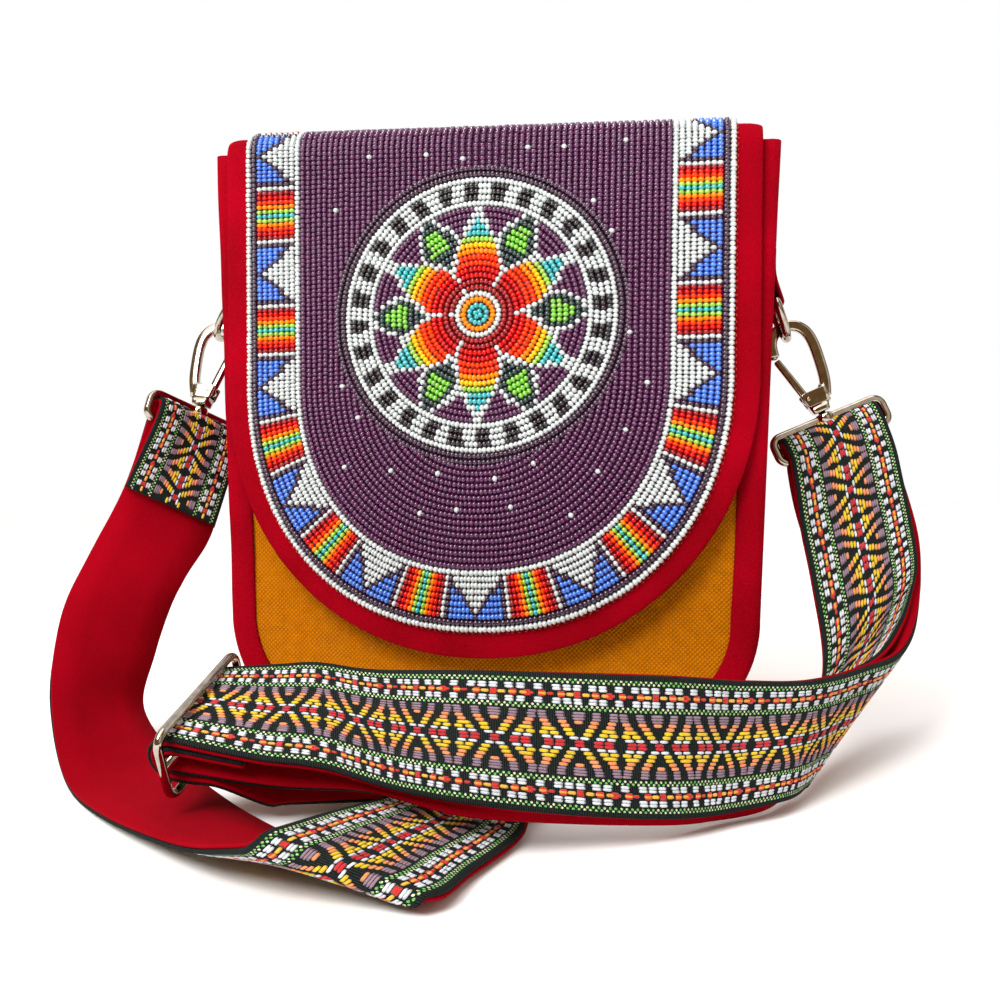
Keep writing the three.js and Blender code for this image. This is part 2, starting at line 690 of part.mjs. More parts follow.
// cloth tab on the gusset and the D-ring hung in it
const tabHalf = 8.5;
const tabWall = 1.4;
const dHalf = 11.0;
const dCorner = 1.5;
const dGap = 1.3;
const dReach = 14.5;
const tabBend = 2.8;
const tabRise = 10;
const tabApart = 0.9;
const tabClose = 0.4;
function tabAndRing(basis, side) {
  const bow = basis.at(0, hookCrown - hookRadius - wireRadius - dGap, 0);
  const barZ = bow.z + dReach;
  const faceX = halfWidth(barZ - lift) + seamGap + tabWall / 2;
  const barY = bow.y;
  const bar = v3(side * (faceX + tabBend), barY, barZ);
  const topX = (z) => halfWidth(z - lift) + seamGap + tabWall / 2;
  const run = [];
  const [half, full] = [barZ + tabRise, barZ + 2 * tabRise];
  run.push([topX(full), full], [topX(half), half], [faceX, barZ]);
  for (let i = 1; i < 8; i++) {
    const a = Math.PI + (Math.PI * i) / 8;
    run.push([faceX + tabBend + tabBend * Math.cos(a), barZ + tabBend * Math.sin(a)]);
  }
  run.push([faceX + 2 * tabBend, barZ]);
  run.push([topX(half) + tabWall + tabApart, half], [topX(full) + tabWall + tabClose, full]);
  const face = (off) => (a, b) => {
    const i = Math.round(a * (run.length - 1));
    const p = run[i];
    const q0 = run[Math.max(0, i - 1)];
    const q1 = run[Math.min(run.length - 1, i + 1)];
    const len = Math.hypot(q1[0] - q0[0], q1[1] - q0[1]);
    const nx = (q1[1] - q0[1]) / len;
    const nz = -(q1[0] - q0[0]) / len;
    return v3(side * (p[0] + nx * off), barY + (2 * b - 1) * tabHalf, p[1] + nz * off);
  };
  const tab = wall(run.length - 1, 1, face(tabWall / 2), face(-tabWall / 2));
  const down = v3(bow.x - bar.x, 0, bow.z - bar.z);
  const reach = down.length();
  down.normalize();
  const along = v3(0, 1, 0);
  const normal = down.clone().cross(along).normalize();
  const path = [];
  for (let i = 0; i <= 3; i++) {
    path.push(bar.clone().addScaledVector(along, mix(-1, 1, i / 3) * (dHalf - dCorner)));
  }
  for (let i = 0; i <= 14; i++) {
    const a = (Math.PI * i) / 14;
    const p = bar.clone().addScaledVector(along, dHalf * Math.cos(a));
    path.push(p.addScaledVector(down, dCorner + (reach - dCorner) * Math.sin(a)));
  }
  return { tab, ring: wire(path, normal, wireRadius, 8, true) };
}

// three-bar slider, square to the strap: front bar, middle bar, hidden bar
function sliderFrameSolid() {
  const { across, normal, outward, mid, half } = sliderFrame;
  const spread = sliderBend + liningThick + layerGap + bandThick + ringClear + wireRadius;
  const half1 = half + sliderClear + wireRadius;
  const path = roundedPath(mid, across, normal, half1, spread, sliderCorner, 3);
  const loop = toManifold(wire(path, outward, wireRadius, 8, true));
  const ends = [1, -1].map((k) => mid.clone().addScaledVector(across, k * half1));
  const bar = toManifold(drum(ends[0], ends[1], stemRadius, 8));
  return fromManifold(loop.add(bar));
}

const leftHook = hookBasis(leftFrame, v3(-1, 0, 0));
const rightHook = hookBasis(rightFrame, v3(1, 0, 0));
const leftSet = tabAndRing(leftHook, -1);
const rightSet = tabAndRing(rightHook, 1);
const bandLow = liningThick + layerGap;

const red = { color: 0xc00022, roughness: 0.85, metalness: 0 };
const nickel = { color: 0xd8d8d4, roughness: 0.15, metalness: 1 };
const canvas = { color: 0xd98a0a, roughness: 0.9, metalness: 0 };

const bag = new THREE.Group();
function add(name, geometry, look) {
  geometry.computeVertexNormals();
  const mesh = new THREE.Mesh(geometry, new THREE.MeshStandardMaterial(look));
  mesh.name = name;
  bag.add(mesh);
}

add('front_panel', panel(-1, 10, 12, panelBulge), canvas);
add('back_panel', panel(1, 6, 10, 0), canvas);
add('gusset', gussetWall(), red);
add('front_binding', binding(-1), red);
add('back_binding', binding(1), red);
add('flap', flapLike(10, 5, 12, 0, flapBottom, 0, 0, flapThick), red);
const beadLook = { color: 0x552850, roughness: 0.35, metalness: 0 };
add('bead_panel', flapLike(10, 5, 12, beadMargin, beadBottom, 4, flapThick + seamGap, beadThick), beadLook);
add('tab_left', leftSet.tab, red);
add('tab_right', rightSet.tab, red);
add('d_ring_left', leftSet.ring, nickel);
add('d_ring_right', rightSet.ring, nickel);
add('hook_left', snapHook(leftHook), nickel);
add('hook_right', snapHook(rightHook), nickel);
add('gate_left', hookGate(leftHook), nickel);
add('gate_right', hookGate(rightHook), nickel);
add('strap_ring_left', strapRing(leftFrame), nickel);
add('strap_ring_right', strapRing(rightFrame), nickel);
add('slider', sliderFrameSolid(), nickel);
const webbing = { color: 0x2a3a30, roughness: 0.8, metalness: 0 };
const lining = { color: 0xa00018, roughness: 0.9, metalness: 0 };
add('strap_band', strapLayer(bandLow, bandLow + bandThick, 0), webbing);
add('strap_lining', strapLayer(0, liningThick, liningInset), lining);

export default bag;
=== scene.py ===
import bmesh
import bpy
import numpy as np
from mathutils import Matrix, Vector


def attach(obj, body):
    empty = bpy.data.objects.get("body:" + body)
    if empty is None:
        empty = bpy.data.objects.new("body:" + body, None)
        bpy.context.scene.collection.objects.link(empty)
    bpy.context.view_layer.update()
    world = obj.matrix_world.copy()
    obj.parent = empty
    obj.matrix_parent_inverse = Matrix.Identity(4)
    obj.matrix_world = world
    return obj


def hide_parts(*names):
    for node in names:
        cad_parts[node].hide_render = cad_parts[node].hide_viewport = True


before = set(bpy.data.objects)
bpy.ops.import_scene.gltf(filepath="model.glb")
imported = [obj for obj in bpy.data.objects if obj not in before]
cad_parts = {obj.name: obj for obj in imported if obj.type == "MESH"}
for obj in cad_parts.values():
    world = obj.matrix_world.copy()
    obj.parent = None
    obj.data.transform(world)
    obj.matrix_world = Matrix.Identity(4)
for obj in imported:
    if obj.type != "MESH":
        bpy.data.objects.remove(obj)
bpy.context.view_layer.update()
print("frame loaded")

mm = 0.001  # shapes below are worked out in millimetres and stored in metres
dice = np.random.default_rng(11)


class Settings(dict):  # values can also be read as attributes
    __getattr__ = dict.__getitem__


# small helpers
def mix(a, b, t):
    return a + (b - a) * t


def ease(a, b, x):
    t = np.clip((x - a) / (b - a), 0, 1)
    return t * t * (3 - 2 * t)


def unit(v):
    return v / np.maximum(np.linalg.norm(v, axis=-1, keepdims=True), 1e-9)


def linear(*rgb):  # display colour from 0 to 255 as linear light
    c = np.array(rgb, float) / 255
    return tuple(np.where(c <= 0.04045, c / 12.92, ((c + 0.055) / 1.055) ** 2.4))


def through(points, t):
    # cubic run through rows of points; t counts rows, tangents are half the neighbours' difference
    points = np.asarray(points, float)
    last = len(points) - 1
    i = np.clip(np.floor(t).astype(int), 0, last - 1)
    u = (t - i)[:, None]
    p0, p1 = points[np.maximum(i - 1, 0)], points[i]
    p2, p3 = points[i + 1], points[np.minimum(i + 2, last)]
    m1, m2 = (p2 - p0) / 2, (p3 - p1) / 2
    stay = (2 * u**3 - 3 * u**2 + 1) * p1 + (u**3 - 2 * u**2 + u) * m1
    return stay + (3 * u**2 - 2 * u**3) * p2 + (u**3 - u**2) * m2


def smoothLine(rows, count):
    # points of a cubic run through rows in one plane, and their directions turned to the left
    line = through(rows, np.linspace(0, len(rows) - 1, count))
    slope = unit(np.gradient(line, axis=0))
    return line, np.stack([-slope[:, 1], slope[:, 0]], 1)


def lengths(points):
    step = np.linalg.norm(np.diff(points, axis=0), axis=-1)
    return np.concatenate([[0], np.cumsum(step)])


def placed(line, along, at):
    # place and slope of a line at given runs along it
    both = np.concatenate([line, np.gradient(line, along, axis=0)], 1)
    return np.stack([np.interp(at, along, column) for column in both.T], 1)


# grids of points and their faces
def quads(rows, cols, closedCols=False):
    i, j = np.meshgrid(np.arange(rows - 1), np.arange(cols if closedCols else cols - 1), indexing="ij")
    k = (j + 1) % cols
    grid = np.stack([i * cols + j, (i + 1) * cols + j, (i + 1) * cols + k, i * cols + k], -1)
    return grid.reshape(-1, 4)


def loft(sections):
    # closed outlines carried along stations, with a fan at each end
    n, k = sections.shape[:2]
    points = np.concatenate([sections.reshape(-1, 3), sections[[0, -1]].mean(1)])
    ring = np.arange(k)
    nextRing = (ring + 1) % k
    first = np.stack([np.full(k, n * k), ring, nextRing], 1)
    last = np.stack([np.full(k, n * k + 1), (n - 1) * k + nextRing, (n - 1) * k + ring], 1)
    return points, [quads(n, k, True), np.concatenate([first, last])]


def hoop(sections):
    # closed outlines carried round until they meet
    n, k = sections.shape[:2]
    return sections.reshape(-1, 3), [quads(n + 1, k, True) % (n * k)]


def twoSided(outer, inner):
    # two grids that face apart, joined by a strip round their edges
    rows, cols = outer.shape[:2]
    count = rows * cols
    top, right = np.arange(cols), np.arange(1, rows) * cols + cols - 1
    bottom, left = (rows - 1) * cols + np.arange(cols - 2, -1, -1), np.arange(rows - 2, 0, -1) * cols
    edge = np.concatenate([top, right, bottom, left])
    after = np.roll(edge, -1)
    skin = quads(rows, cols)
    strip = np.stack([edge, after, after + count, edge + count], 1)
    points = np.concatenate([outer.reshape(-1, 3), inner.reshape(-1, 3)])
    return points, [skin, skin[:, ::-1] + count, strip]


def shells(*made):
    # several closed shapes in one mesh
    points, four, three, start = [], [], [], 0
    for p, faces in made:
        points.append(p)
        for f in faces:
            (four if f.shape[1] == 4 else three).append(f + start)
        start += len(p)
    return np.concatenate(points), [np.concatenate(f) for f in (four, three) if f]


def put(name, data):
    made = bpy.data.objects.new(name, data)
    bpy.context.collection.objects.link(made)
    return made


def weldMesh(mesh):
    # seam points that lie together become one, and open ends are closed
    work = bmesh.new()
    work.from_mesh(mesh)
    bmesh.ops.remove_doubles(work, verts=work.verts, dist=2e-6)
    bmesh.ops.holes_fill(work, edges=[e for e in work.edges if e.is_boundary])
    bmesh.ops.recalc_face_normals(work, faces=work.faces)
    work.to_mesh(mesh)
    work.free()


def fit(name, shape, look, node, body="bag", flat=None, tint=None, weld=True):
    # piece from arrays for a CAD node: the shape has points and a list of faces for each number of corners
    points, faces = np.asarray(shape[0], float).reshape(-1, 3), shape[1]
    mesh = bpy.data.meshes.new(name)
    mesh.vertices.add(len(points))
    mesh.vertices.foreach_set("co", (points * mm).astype(np.float32).ravel())
    corners = np.concatenate([f.ravel() for f in faces])
    sizes = np.concatenate([np.full(len(f), f.shape[1]) for f in faces])
    mesh.loops.add(len(corners))
    mesh.loops.foreach_set("vertex_index", corners.astype(np.int32))
    mesh.polygons.add(len(sizes))
    mesh.polygons.foreach_set("loop_start", (np.cumsum(sizes) - sizes).astype(np.int32))
    mesh.update(calc_edges=True)
    mesh.polygons.foreach_set("use_smooth", np.full(len(sizes), True))
    if flat is not None:
        own = mesh.attributes.new("flat", "FLOAT_VECTOR", "POINT")
        own.data.foreach_set("vector", np.asarray(flat, np.float32).ravel())
    if tint is not None:
        own = mesh.attributes.new("tint", "FLOAT_COLOR", "POINT")
        tint = np.concatenate([np.clip(tint, 0, 1), np.ones((len(tint), 1))], 1)
        own.data.foreach_set("color", tint.astype(np.float32).ravel())
    if weld:
        weldMesh(mesh)
    mesh.materials.append(look)
    piece = put(name, mesh)
    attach(piece, body)
    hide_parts(node)
    return piece


# shader sockets with arithmetic
class Shade:
    def __init__(self, tree, socket=None):
        self.tree, self.socket = tree, socket

    def node(self, kind, sockets=None, out=0, **settings):
        made = self.tree.nodes.new(kind)
        for key, value in settings.items():
            setattr(made, key, value)
        for key, value in (sockets or {}).items():
            if isinstance(value, Shade):
                self.tree.links.new(value.socket, made.inputs[key])
            else:
                made.inputs[key].default_value = value
        return Shade(self.tree, made.outputs[out])

    def calc(self, operation, other=0.0, swapped=False):
        first, second = (other, self) if swapped else (self, other)
        return self.node("ShaderNodeMath", {0: first, 1: second}, operation=operation)

    __add__ = __radd__ = lambda self, other: self.calc("ADD", other)
    __mul__ = __rmul__ = lambda self, other: self.calc("MULTIPLY", other)
    __sub__ = lambda self, other: self.calc("SUBTRACT", other)
    __rsub__ = lambda self, other: self.calc("SUBTRACT", other, True)
    __truediv__ = lambda self, other: self.calc("DIVIDE", other)
    __rtruediv__ = lambda self, other: self.calc("DIVIDE", other, True)
    __pow__ = lambda self, other: self.calc("POWER", other)

    def over(self, other):
        return self.calc("GREATER_THAN", other)

    def under(self, other):
        return self.calc("LESS_THAN", other)

    def wave(self):  # sine lifted to run from 0 to 1
        return self.calc("SINE") * 0.5 + 0.5

    def blend(self, a, b):  # colour a where this is 0, b where it is 1
        a, b = (c if isinstance(c, Shade) else (*c, 1.0) for c in (a, b))
        return self.node("ShaderNodeMix", {0: self, 6: a, 7: b}, 2, data_type="RGBA")


class Look:
    # principled material; links go only into the sockets named in link()
    def __init__(self, name, **constants):
        self.material = bpy.data.materials.new(name)
        self.material.use_nodes = True
        tree = self.material.node_tree
        self.shader = tree.nodes["Principled BSDF"]
        self.start = Shade(tree)
        for key, value in constants.items():
            self.shader.inputs[key.replace("_", " ")].default_value = value

    def link(self, socket, value):
        self.start.tree.links.new(value.socket, self.shader.inputs[socket])

    def place(self):  # object coordinates in millimetres
        where = self.start.node("ShaderNodeTexCoord", out=3)
        return self.start.node("ShaderNodeVectorMath", {0: where, 3: 1 / mm}, operation="SCALE")

    def own(self, name, out=1):
        return self.start.node("ShaderNodeAttribute", out=out, attribute_name=name)

    def parts(self, vector):
        made = self.start.node("ShaderNodeSeparateXYZ", {0: vector})
        return [Shade(self.start.tree, out) for out in made.socket.node.outputs]

    def noise(self, vector, scale, detail):
        return self.start.node("ShaderNodeTexNoise", {"Vector": vector, "Scale": scale, "Detail": detail})

    def bump(self, height, distance):  # distance in millimetres
        self.link("Normal", self.start.node("ShaderNodeBump", {"Height": height, "Distance": distance * mm}))


# camera, where the photograph was taken from
view = Settings(place=(81, -408, 95), yaw=11.1, pitch=0.4, roll=-0.42, lens=36, sensor=36)


def makeCamera():
    yaw, pitch, roll = np.radians([view.yaw, view.pitch, view.roll])
    ahead = Vector((-np.sin(yaw) * np.cos(pitch), np.cos(yaw) * np.cos(pitch), -np.sin(pitch)))
    level = Vector((np.cos(yaw), np.sin(yaw), 0))
    above = level.cross(ahead)
    right = level * np.cos(roll) + above * np.sin(roll)
    up = above * np.cos(roll) - level * np.sin(roll)
    camera = put("camera", bpy.data.cameras.new("camera"))
    turn = Matrix((right, up, -ahead)).transposed().to_4x4()
    camera.matrix_world = Matrix.Translation(Vector(view.place) * mm) @ turn
    camera.data.lens, camera.data.sensor_width = view.lens, view.sensor
    bpy.context.scene.camera = camera


makeCamera()

# studio: pale floor, a white wall behind the bag, a dim warm room before it, soft lamps
studio = Settings(
    floor=linear(252, 252, 252), floorHalf=6.0, wall=(1.0, 1.0, 1.0), room=(0.25, 0.15, 0.065),
    gradeFrom=-0.12, gradeTo=0.42, strength=1.0, aim=(0, -0.05, 0.11),
)
lamps = [
    Settings(name="key", place=(-0.45, -0.95, 0.95), size=0.6, power=16.5),
    Settings(name="fill", place=(0.9, -1.0, 0.7), size=0.9, power=1.6),
]
ceiling = Settings(comesFrom=(-0.15, -0.35, 1.0), strength=1.95, spread=60)


def towards(aim):
    return aim.to_track_quat("-Z", "Y").to_euler()


def makeStudio():
    look = Look("floor", Base_Color=(*studio.floor, 1.0), Roughness=0.9)
    h = studio.floorHalf
    mesh = bpy.data.meshes.new("floor")
    mesh.from_pydata([(-h, -h, 0), (h, -h, 0), (h, h, 0), (-h, h, 0)], [], [(0, 1, 2, 3)])
    mesh.materials.append(look.material)
    put("floor", mesh)
    world = bpy.data.worlds.new("surround")
    world.use_nodes = True
    tree = world.node_tree
    start = Shade(tree)
    sky = start.node("ShaderNodeSeparateXYZ", {0: start.node("ShaderNodeTexCoord")}, 1)
    span = {"Value": sky, "From Min": studio.gradeFrom, "From Max": studio.gradeTo}
    share = start.node("ShaderNodeMapRange", span, interpolation_type="SMOOTHSTEP")
    colour = share.blend(studio.room, studio.wall)
    tree.links.new(colour.socket, tree.nodes["Background"].inputs["Color"])
    tree.nodes["Background"].inputs["Strength"].default_value = studio.strength
    bpy.context.scene.world = world
    for lamp in lamps:
        light = bpy.data.lights.new(lamp.name, "AREA")
        light.energy, light.size = lamp.power, lamp.size
        piece = put(lamp.name, light)
        piece.location = lamp.place
        piece.rotation_euler = towards(Vector(studio.aim) - Vector(lamp.place))
    light = bpy.data.lights.new("ceiling", "SUN")  # even light on the whole floor
    light.energy, light.angle = ceiling.strength, np.radians(ceiling.spread)
    put("ceiling", light).rotation_euler = towards(-Vector(ceiling.comesFrom))
    bpy.context.scene.view_settings.view_transform = "Standard"


makeStudio()
print("camera and studio made")

# materials
cloth = Settings(
    red=linear(170, 0, 26), deep=linear(128, 0, 12), lining=linear(150, 0, 20),
    liningDeep=linear(124, 0, 12), backing=linear(104, 66, 98), backingDeep=linear(76, 46, 72),
    cloud=0.03, fibre=3.4,
)


def clothLook(name, light, dark, grain, depth):
    # felted cloth: broad clouds, grain and short fibres
    look = Look(name, Roughness=0.95, Specular_IOR_Level=0.04)
    place = look.place()
    broad = look.noise(place, cloth.cloud, 2.0)
    fine = look.noise(place, grain, 4.0)
    fibre = look.noise(place, cloth.fibre * grain, 2.0)
    tone = broad * 1.5 + fine * 0.9 + fibre * 0.5 - 0.95
    look.link("Base Color", tone.blend(cloth[dark], cloth[light]))
    look.bump(broad * 4.0 + fine + 0.5 * fibre, depth)
    return look.material


canvas = Settings(
    light=linear(222, 134, 2), dark=linear(138, 74, 0), yarn=0.88, uneven=0.25, fibre=3.0,
    depth=0.3,
)


def canvasLook():
    # plain weave: a yarn stands up where the product of the two waves is high; there the bump raises it and
    # its colour is painted lighter, a painted highlight on the yarn crowns
    look = Look("canvas", Roughness=0.92, Specular_IOR_Level=0.08)
    across, up = look.parts(look.own("flat"))[:2]
    uneven = look.noise(look.place(), canvas.uneven, 3.0)
    turns = [place * (np.pi / canvas.yarn) + uneven for place in (across, up)]
    wave = turns[0].calc("SINE") * turns[1].calc("SINE")
    fibre = look.noise(look.place(), canvas.fibre, 2.0)
    # painted highlight on the yarn crowns, added to the cloth's own uneven and fibre tone
    tone = wave.calc("MAXIMUM", 0.0) * 0.5 + uneven * 0.4 + fibre * 0.3 - 0.08
    look.link("Base Color", tone.blend(canvas.dark, canvas.light))
    look.bump(wave * 0.5 + fibre * 0.25, canvas.depth)
    return look.material


def beadLook():
    # opaque glass: the more a bead's red outweighs its green, the thinner its gloss
    look = Look("seed_beads", Roughness=0.16, Specular_IOR_Level=0.4, Coat_Roughness=0.07, Coat_IOR=1.65)
    tint = look.own("tint", 0)
    red, green = look.parts(tint)[:2]
    look.link("Base Color", tint)
    look.link("Coat Weight", 1.0 - (red - green) * 1.6)
    return look.material


def floatLook():
    # satin yarn with strands side by side
    look = Look("strap_floats", Roughness=0.55, Specular_IOR_Level=0.35, Sheen_Weight=0.2)
    across = look.parts(look.own("flat"))[0]
    look.link("Base Color", look.own("tint", 0))
    look.bump((across * 38.0).wave(), 0.06)
    return look.material


# the dark and the bright colour are the two tones of the painted reflection patches on the plate
nickel = Settings(dull=linear(124, 110, 88), bright=linear(204, 197, 186), cloud=0.35, rub=6.0)


def nickelLook():
    # bright plate with faint rubbing marks and painted reflections: cloudy patches of dark brown and light
    # colour
    look = Look("nickel", Metallic=1.0)
    place = look.place()
    reflectionPatches = look.noise(place, nickel.cloud, 3.0)
    rubbed = look.noise(place, nickel.rub, 2.0)
    # painted reflections: dark brown and light patches in the plate's colour stand in for the room and the
    # wall seen in it
    look.link("Base Color", reflectionPatches.blend(nickel.dull, nickel.bright))
    look.link("Roughness", rubbed * 0.08 + 0.04)
    return look.material


thread = Settings(light=linear(222, 100, 48), dark=linear(176, 52, 32), turn=12.0)


def threadLook():
    # twisted sewing thread, its strands as slanted bands
    look = Look("gold_thread", Roughness=0.7, Specular_IOR_Level=0.25)
    x, y, z = look.parts(look.place())
    strand = ((x + z - y) * thread.turn).wave()
    look.link("Base Color", strand.blend(thread.dark, thread.light))
    return look.material


redLook = clothLook("red_cloth", "red", "deep", 1.5, 0.5)
liningLook = clothLook("lining_cloth", "lining", "liningDeep", 2.0, 0.15)
canvasMaterial, nickelMaterial, goldThread = canvasLook(), nickelLook(), threadLook()
beadMaterial, floatMaterial = beadLook(), floatLook()

# pouch, with the sizes of the CAD model; crowd is the share of rows in the low share of the height
pouch = Settings(
    height=228, halfTop=111, halfLow=102, corner=46, depthLow=66, depthTop=46,
    lift=1.9, skew=0.044, skewFrom=196, skewTo=232, bulge=2.5, backBulge=1.2, wall=1.6,
    inset=0.4, gap=0.35, crowd=0.4, crowdLow=0.25, rows=70, cols=60,
)


def slant(p):
    # left end of the top stands higher than its right end
    p = np.array(p, float)
    p[..., 2] -= pouch.skew * p[..., 0] * ease(pouch.skewFrom, pouch.skewTo, p[..., 2])
    return p


def halfDepth(z):
    return mix(pouch.depthLow, pouch.depthTop, z / pouch.height) / 2


def halfWidth(z):
    c = pouch.corner
    straight = mix(pouch.halfLow, pouch.halfTop, (z - c) / (pouch.height - c))
    d = c - np.clip(z, 0, c)
    return np.where(z >= c, straight, pouch.halfLow - c + np.sqrt(np.maximum(c * c - d * d, 0)))


def rim(sidePoints=40, cornerPoints=24, bottomPoints=24):
    # U of the seam from top left to top right: x, z and the outward direction
    h, c, low = pouch.height, pouch.corner, pouch.halfLow
    z = np.linspace(h, c, sidePoints, endpoint=False)
    side = np.stack([-halfWidth(z), z, -np.ones_like(z), np.zeros_like(z)], 1)
    a = np.linspace(0, np.pi / 2, cornerPoints, endpoint=False)
    turn = np.stack([-(low - c) - c * np.cos(a), c - c * np.sin(a), -np.cos(a), -np.sin(a)], 1)
    x = np.linspace(-(low - c), 0, bottomPoints)
    flat = np.stack([x, 0 * x, 0 * x, 0 * x - 1], 1)
    left = np.concatenate([side, turn, flat])
    return np.concatenate([left, left[:-1][::-1] * (-1, 1, -1, 1)])


def panelShape(sign, bulge):
    # sheet between the seams: half depth plus a soft bulge, wall towards the inside
    t = np.linspace(0, 1, pouch.rows)
    crowd, low = pouch.crowd, pouch.crowdLow
    share = np.where(t < crowd, low * (t / crowd) ** 1.6, mix(low, 1, (t - crowd) / (1 - crowd)))
    z = mix(pouch.inset, pouch.height - 1, share)
    z, u = np.meshgrid(z, np.linspace(-1, 1, pouch.cols), indexing="ij")
    x = u * (halfWidth(z) - pouch.inset)
    soft = bulge * (1 - u * u) ** 2 * np.sin(np.pi * np.minimum(1, z / pouch.height)) ** 0.7
    y = halfDepth(z) + soft
    return twoSided(*(slant(np.stack([x, sign * (y - d), z + pouch.lift], -1)) for d in (0, pouch.wall)))


for name, sign, bulge in (("front_canvas", -1, pouch.bulge), ("back_canvas", 1, pouch.backBulge)):
    shape = panelShape(sign, bulge)
    node = name.replace("canvas", "panel")
    piece = fit(name, shape, canvasMaterial, node, flat=shape[0][:, [0, 2, 1]])
print("canvas panels made")

# gusset: stations across it, where its bottom sags, and where the tabs hold it flat
gusset = Settings(
    across=[0, 0.04, 0.1, 0.17, 0.25, 0.4, 0.6, 0.75, 0.83, 0.9, 0.96, 1], sagFrom=0.1, sagTo=0.25,
    level=12, tabs=176, tabRoom=(16, 46), low=(30, 80), hollow=1.6, ripple=0.3,
)


def gussetShape():
    # strip round the U; between the edge strips its bottom sags onto the ground
    x, z, dx, dz = rim().T[:, :, None]
    across = np.array(gusset.across)
    first, full = gusset.sagFrom, gusset.sagTo
    sag = ease(first, full, across) * ease(1 - first, 1 - full, across)
    level = np.maximum(0, 1 - z / gusset.level)
    loose = ease(*gusset.tabRoom, np.abs(z - gusset.tabs)) * ease(*gusset.low, z)
    ripple = gusset.ripple * np.sin(z / 6 + 5 * across) * np.sin(z / 17)
    arch = np.sin(np.pi * across)
    hollow = loose * (gusset.hollow * arch**2 + ripple * arch)
    faces = []
    for inward in (0, pouch.wall):
        o = sag * level * pouch.lift - inward - hollow
        high = z + dz * o
        room = halfDepth(np.maximum(0, high)) - pouch.wall - pouch.gap
        faces.append(slant(np.stack([x + dx * o, (2 * across - 1) * room, high + pouch.lift], -1)))
    return twoSided(*faces)


piece = fit("gusset_cloth", gussetShape(), redLook, "gusset")

# edge strips: o runs outwards from the seam, f stands proud of the panel
binding = Settings(
    profile=[
        (-8.6, 0.35), (-8.5, 1.1), (-7.4, 1.6), (-4.2, 2.1), (-1.2, 2.1), (0.6, 1.6), (1.5, 0.6),
        (1.85, -0.8), (1.9, -2.4), (1.9, -5.2), (1.5, -5.5), (0.35, -5.5), (0.35, 0.35),
    ],
    proud=2.1, wave=0.8, free=(4, 30),
)


def edgeShape(sign):
    # the seam's U with a folded outline; its proud part ripples a little up the sides
    seam = rim()
    run = lengths(seam[:, :2])
    x, z, dx, dz = seam.T[:, :, None]
    o, f = np.array(binding.profile).T
    ripple = binding.wave * np.sin(run / 9.0) * np.sin(run / 23.0 + 1) * ease(*binding.free, seam[:, 1])
    wide = x + dx * (o + ripple[:, None] * np.maximum(f, 0) / binding.proud)
    y = sign * (halfDepth(np.maximum(0, z)) + f)
    return loft(slant(np.stack([wide, y, z + dz * o + pouch.lift], -1))), run[-1]


for name, sign in (("front_edge", -1), ("back_edge", 1)):
    shape, run = edgeShape(sign)
    piece = fit(name, shape, redLook, name.replace("edge", "binding"))
print("gusset and edge strips made")

# seed beads: short barrels threaded in lanes, with the girth at each of their ends
bead = Settings(
    lanes=41, laneWidth=93.9 / 40.5, pitch=1.74, radius=1.28, half=93.9, low=42.0, off=4.25,
    sides=6, ends=[-0.5, -0.31, 0.0, 0.31, 0.5], girth=[0.36, 0.82, 1.0, 0.82, 0.36],
    uneven=0.05, stray=0.05, shade=0.07, slip=0.1, blockSlip=0.06, backEnd=22.4,
)

# flap: a sheet in lanes that follow its U outline, over the profile of its inner face
flap = Settings(
    halfLow=104.5, widen=1.5, widenRun=88, arc=140, bottom=31, thick=3.0, power=2.2,
    clothPower=2.09, round=6.5, bulgeHalf=106, bulgeRange=(232, 190),
    front=[20, 40, 60, 80, 100, 120, 140, 160, 180, 200, 214], room=3.2, lean=3.0,
    leanRange=(150, 40), tail=[221, 210, 190], proud=2.45,
    over=[(-26.6, 221), (-26.3, 227), (-23.8, 231.3), (-16, 232.6), (0, 233.2), (16, 232.6), (22.4, 231.6),
             (25.4, 227.6)],
    steps=[0, 0.15, 0.5, 1.1, 1.9, 3, 4.5, 6.5, 9, 11.5, 14, 25, 45, 70, 104.5],
)
backing = Settings(half=94.6, low=41.2, lift=0.1, thick=0.5, steps=[0, 0.2, 0.6, 1.5, 4, 12, 30, 60, 94.6])


def flapProfile():
    # inner face from the front's lower end, over the top, to the tail: y, z, run, outward y and z
    z = np.array(flap.front, float)
    front = np.stack([-(halfDepth(z) + flap.room + flap.lean * ease(*flap.leanRange, z)), z], 1)
    z = np.array(flap.tail, float)
    tail = np.stack([halfDepth(z) + flap.proud, z], 1)
    line, outward = smoothLine(np.concatenate([front, flap.over, tail]), 900)
    run = lengths(line + bead.off * outward)  # measured where the beads lie
    return np.concatenate([line, run[:, None], outward], 1)


profile = flapProfile()
frontPart, backPart = profile[:430], profile[450:]  # before and behind the middle of the top


def frontRun(z):
    return np.interp(z, frontPart[:, 1], frontPart[:, 2])


arcRun, tailRun = frontRun(flap.arc), profile[-1, 2]
beadEnd = np.interp(bead.backEnd, backPart[:, 0], backPart[:, 2])


def onFlap(x, run, off):
    y, z, ny, nz = (np.interp(run, profile[:, 2], profile[:, k]) for k in (0, 1, 3, 4))
    front = np.where(y < 0, ease(*flap.bulgeRange, z), 0)
    soft = pouch.bulge * (1 - (x / flap.bulgeHalf) ** 2) ** 2 * front
    return slant(np.stack([x, y + ny * off - soft, z + nz * off + pouch.lift], -1))


def flapFrame(x, run, dx, dr, off):
    # places on the flap, with the directions along a thread, sideways and outwards
    centre = onFlap(x, run, off)
    ahead = unit(onFlap(x + dx * 0.5, run + dr * 0.5, off) - centre)
    out = unit(onFlap(x, run, off + 1) - centre)
    return centre, ahead, np.cross(ahead, out), out


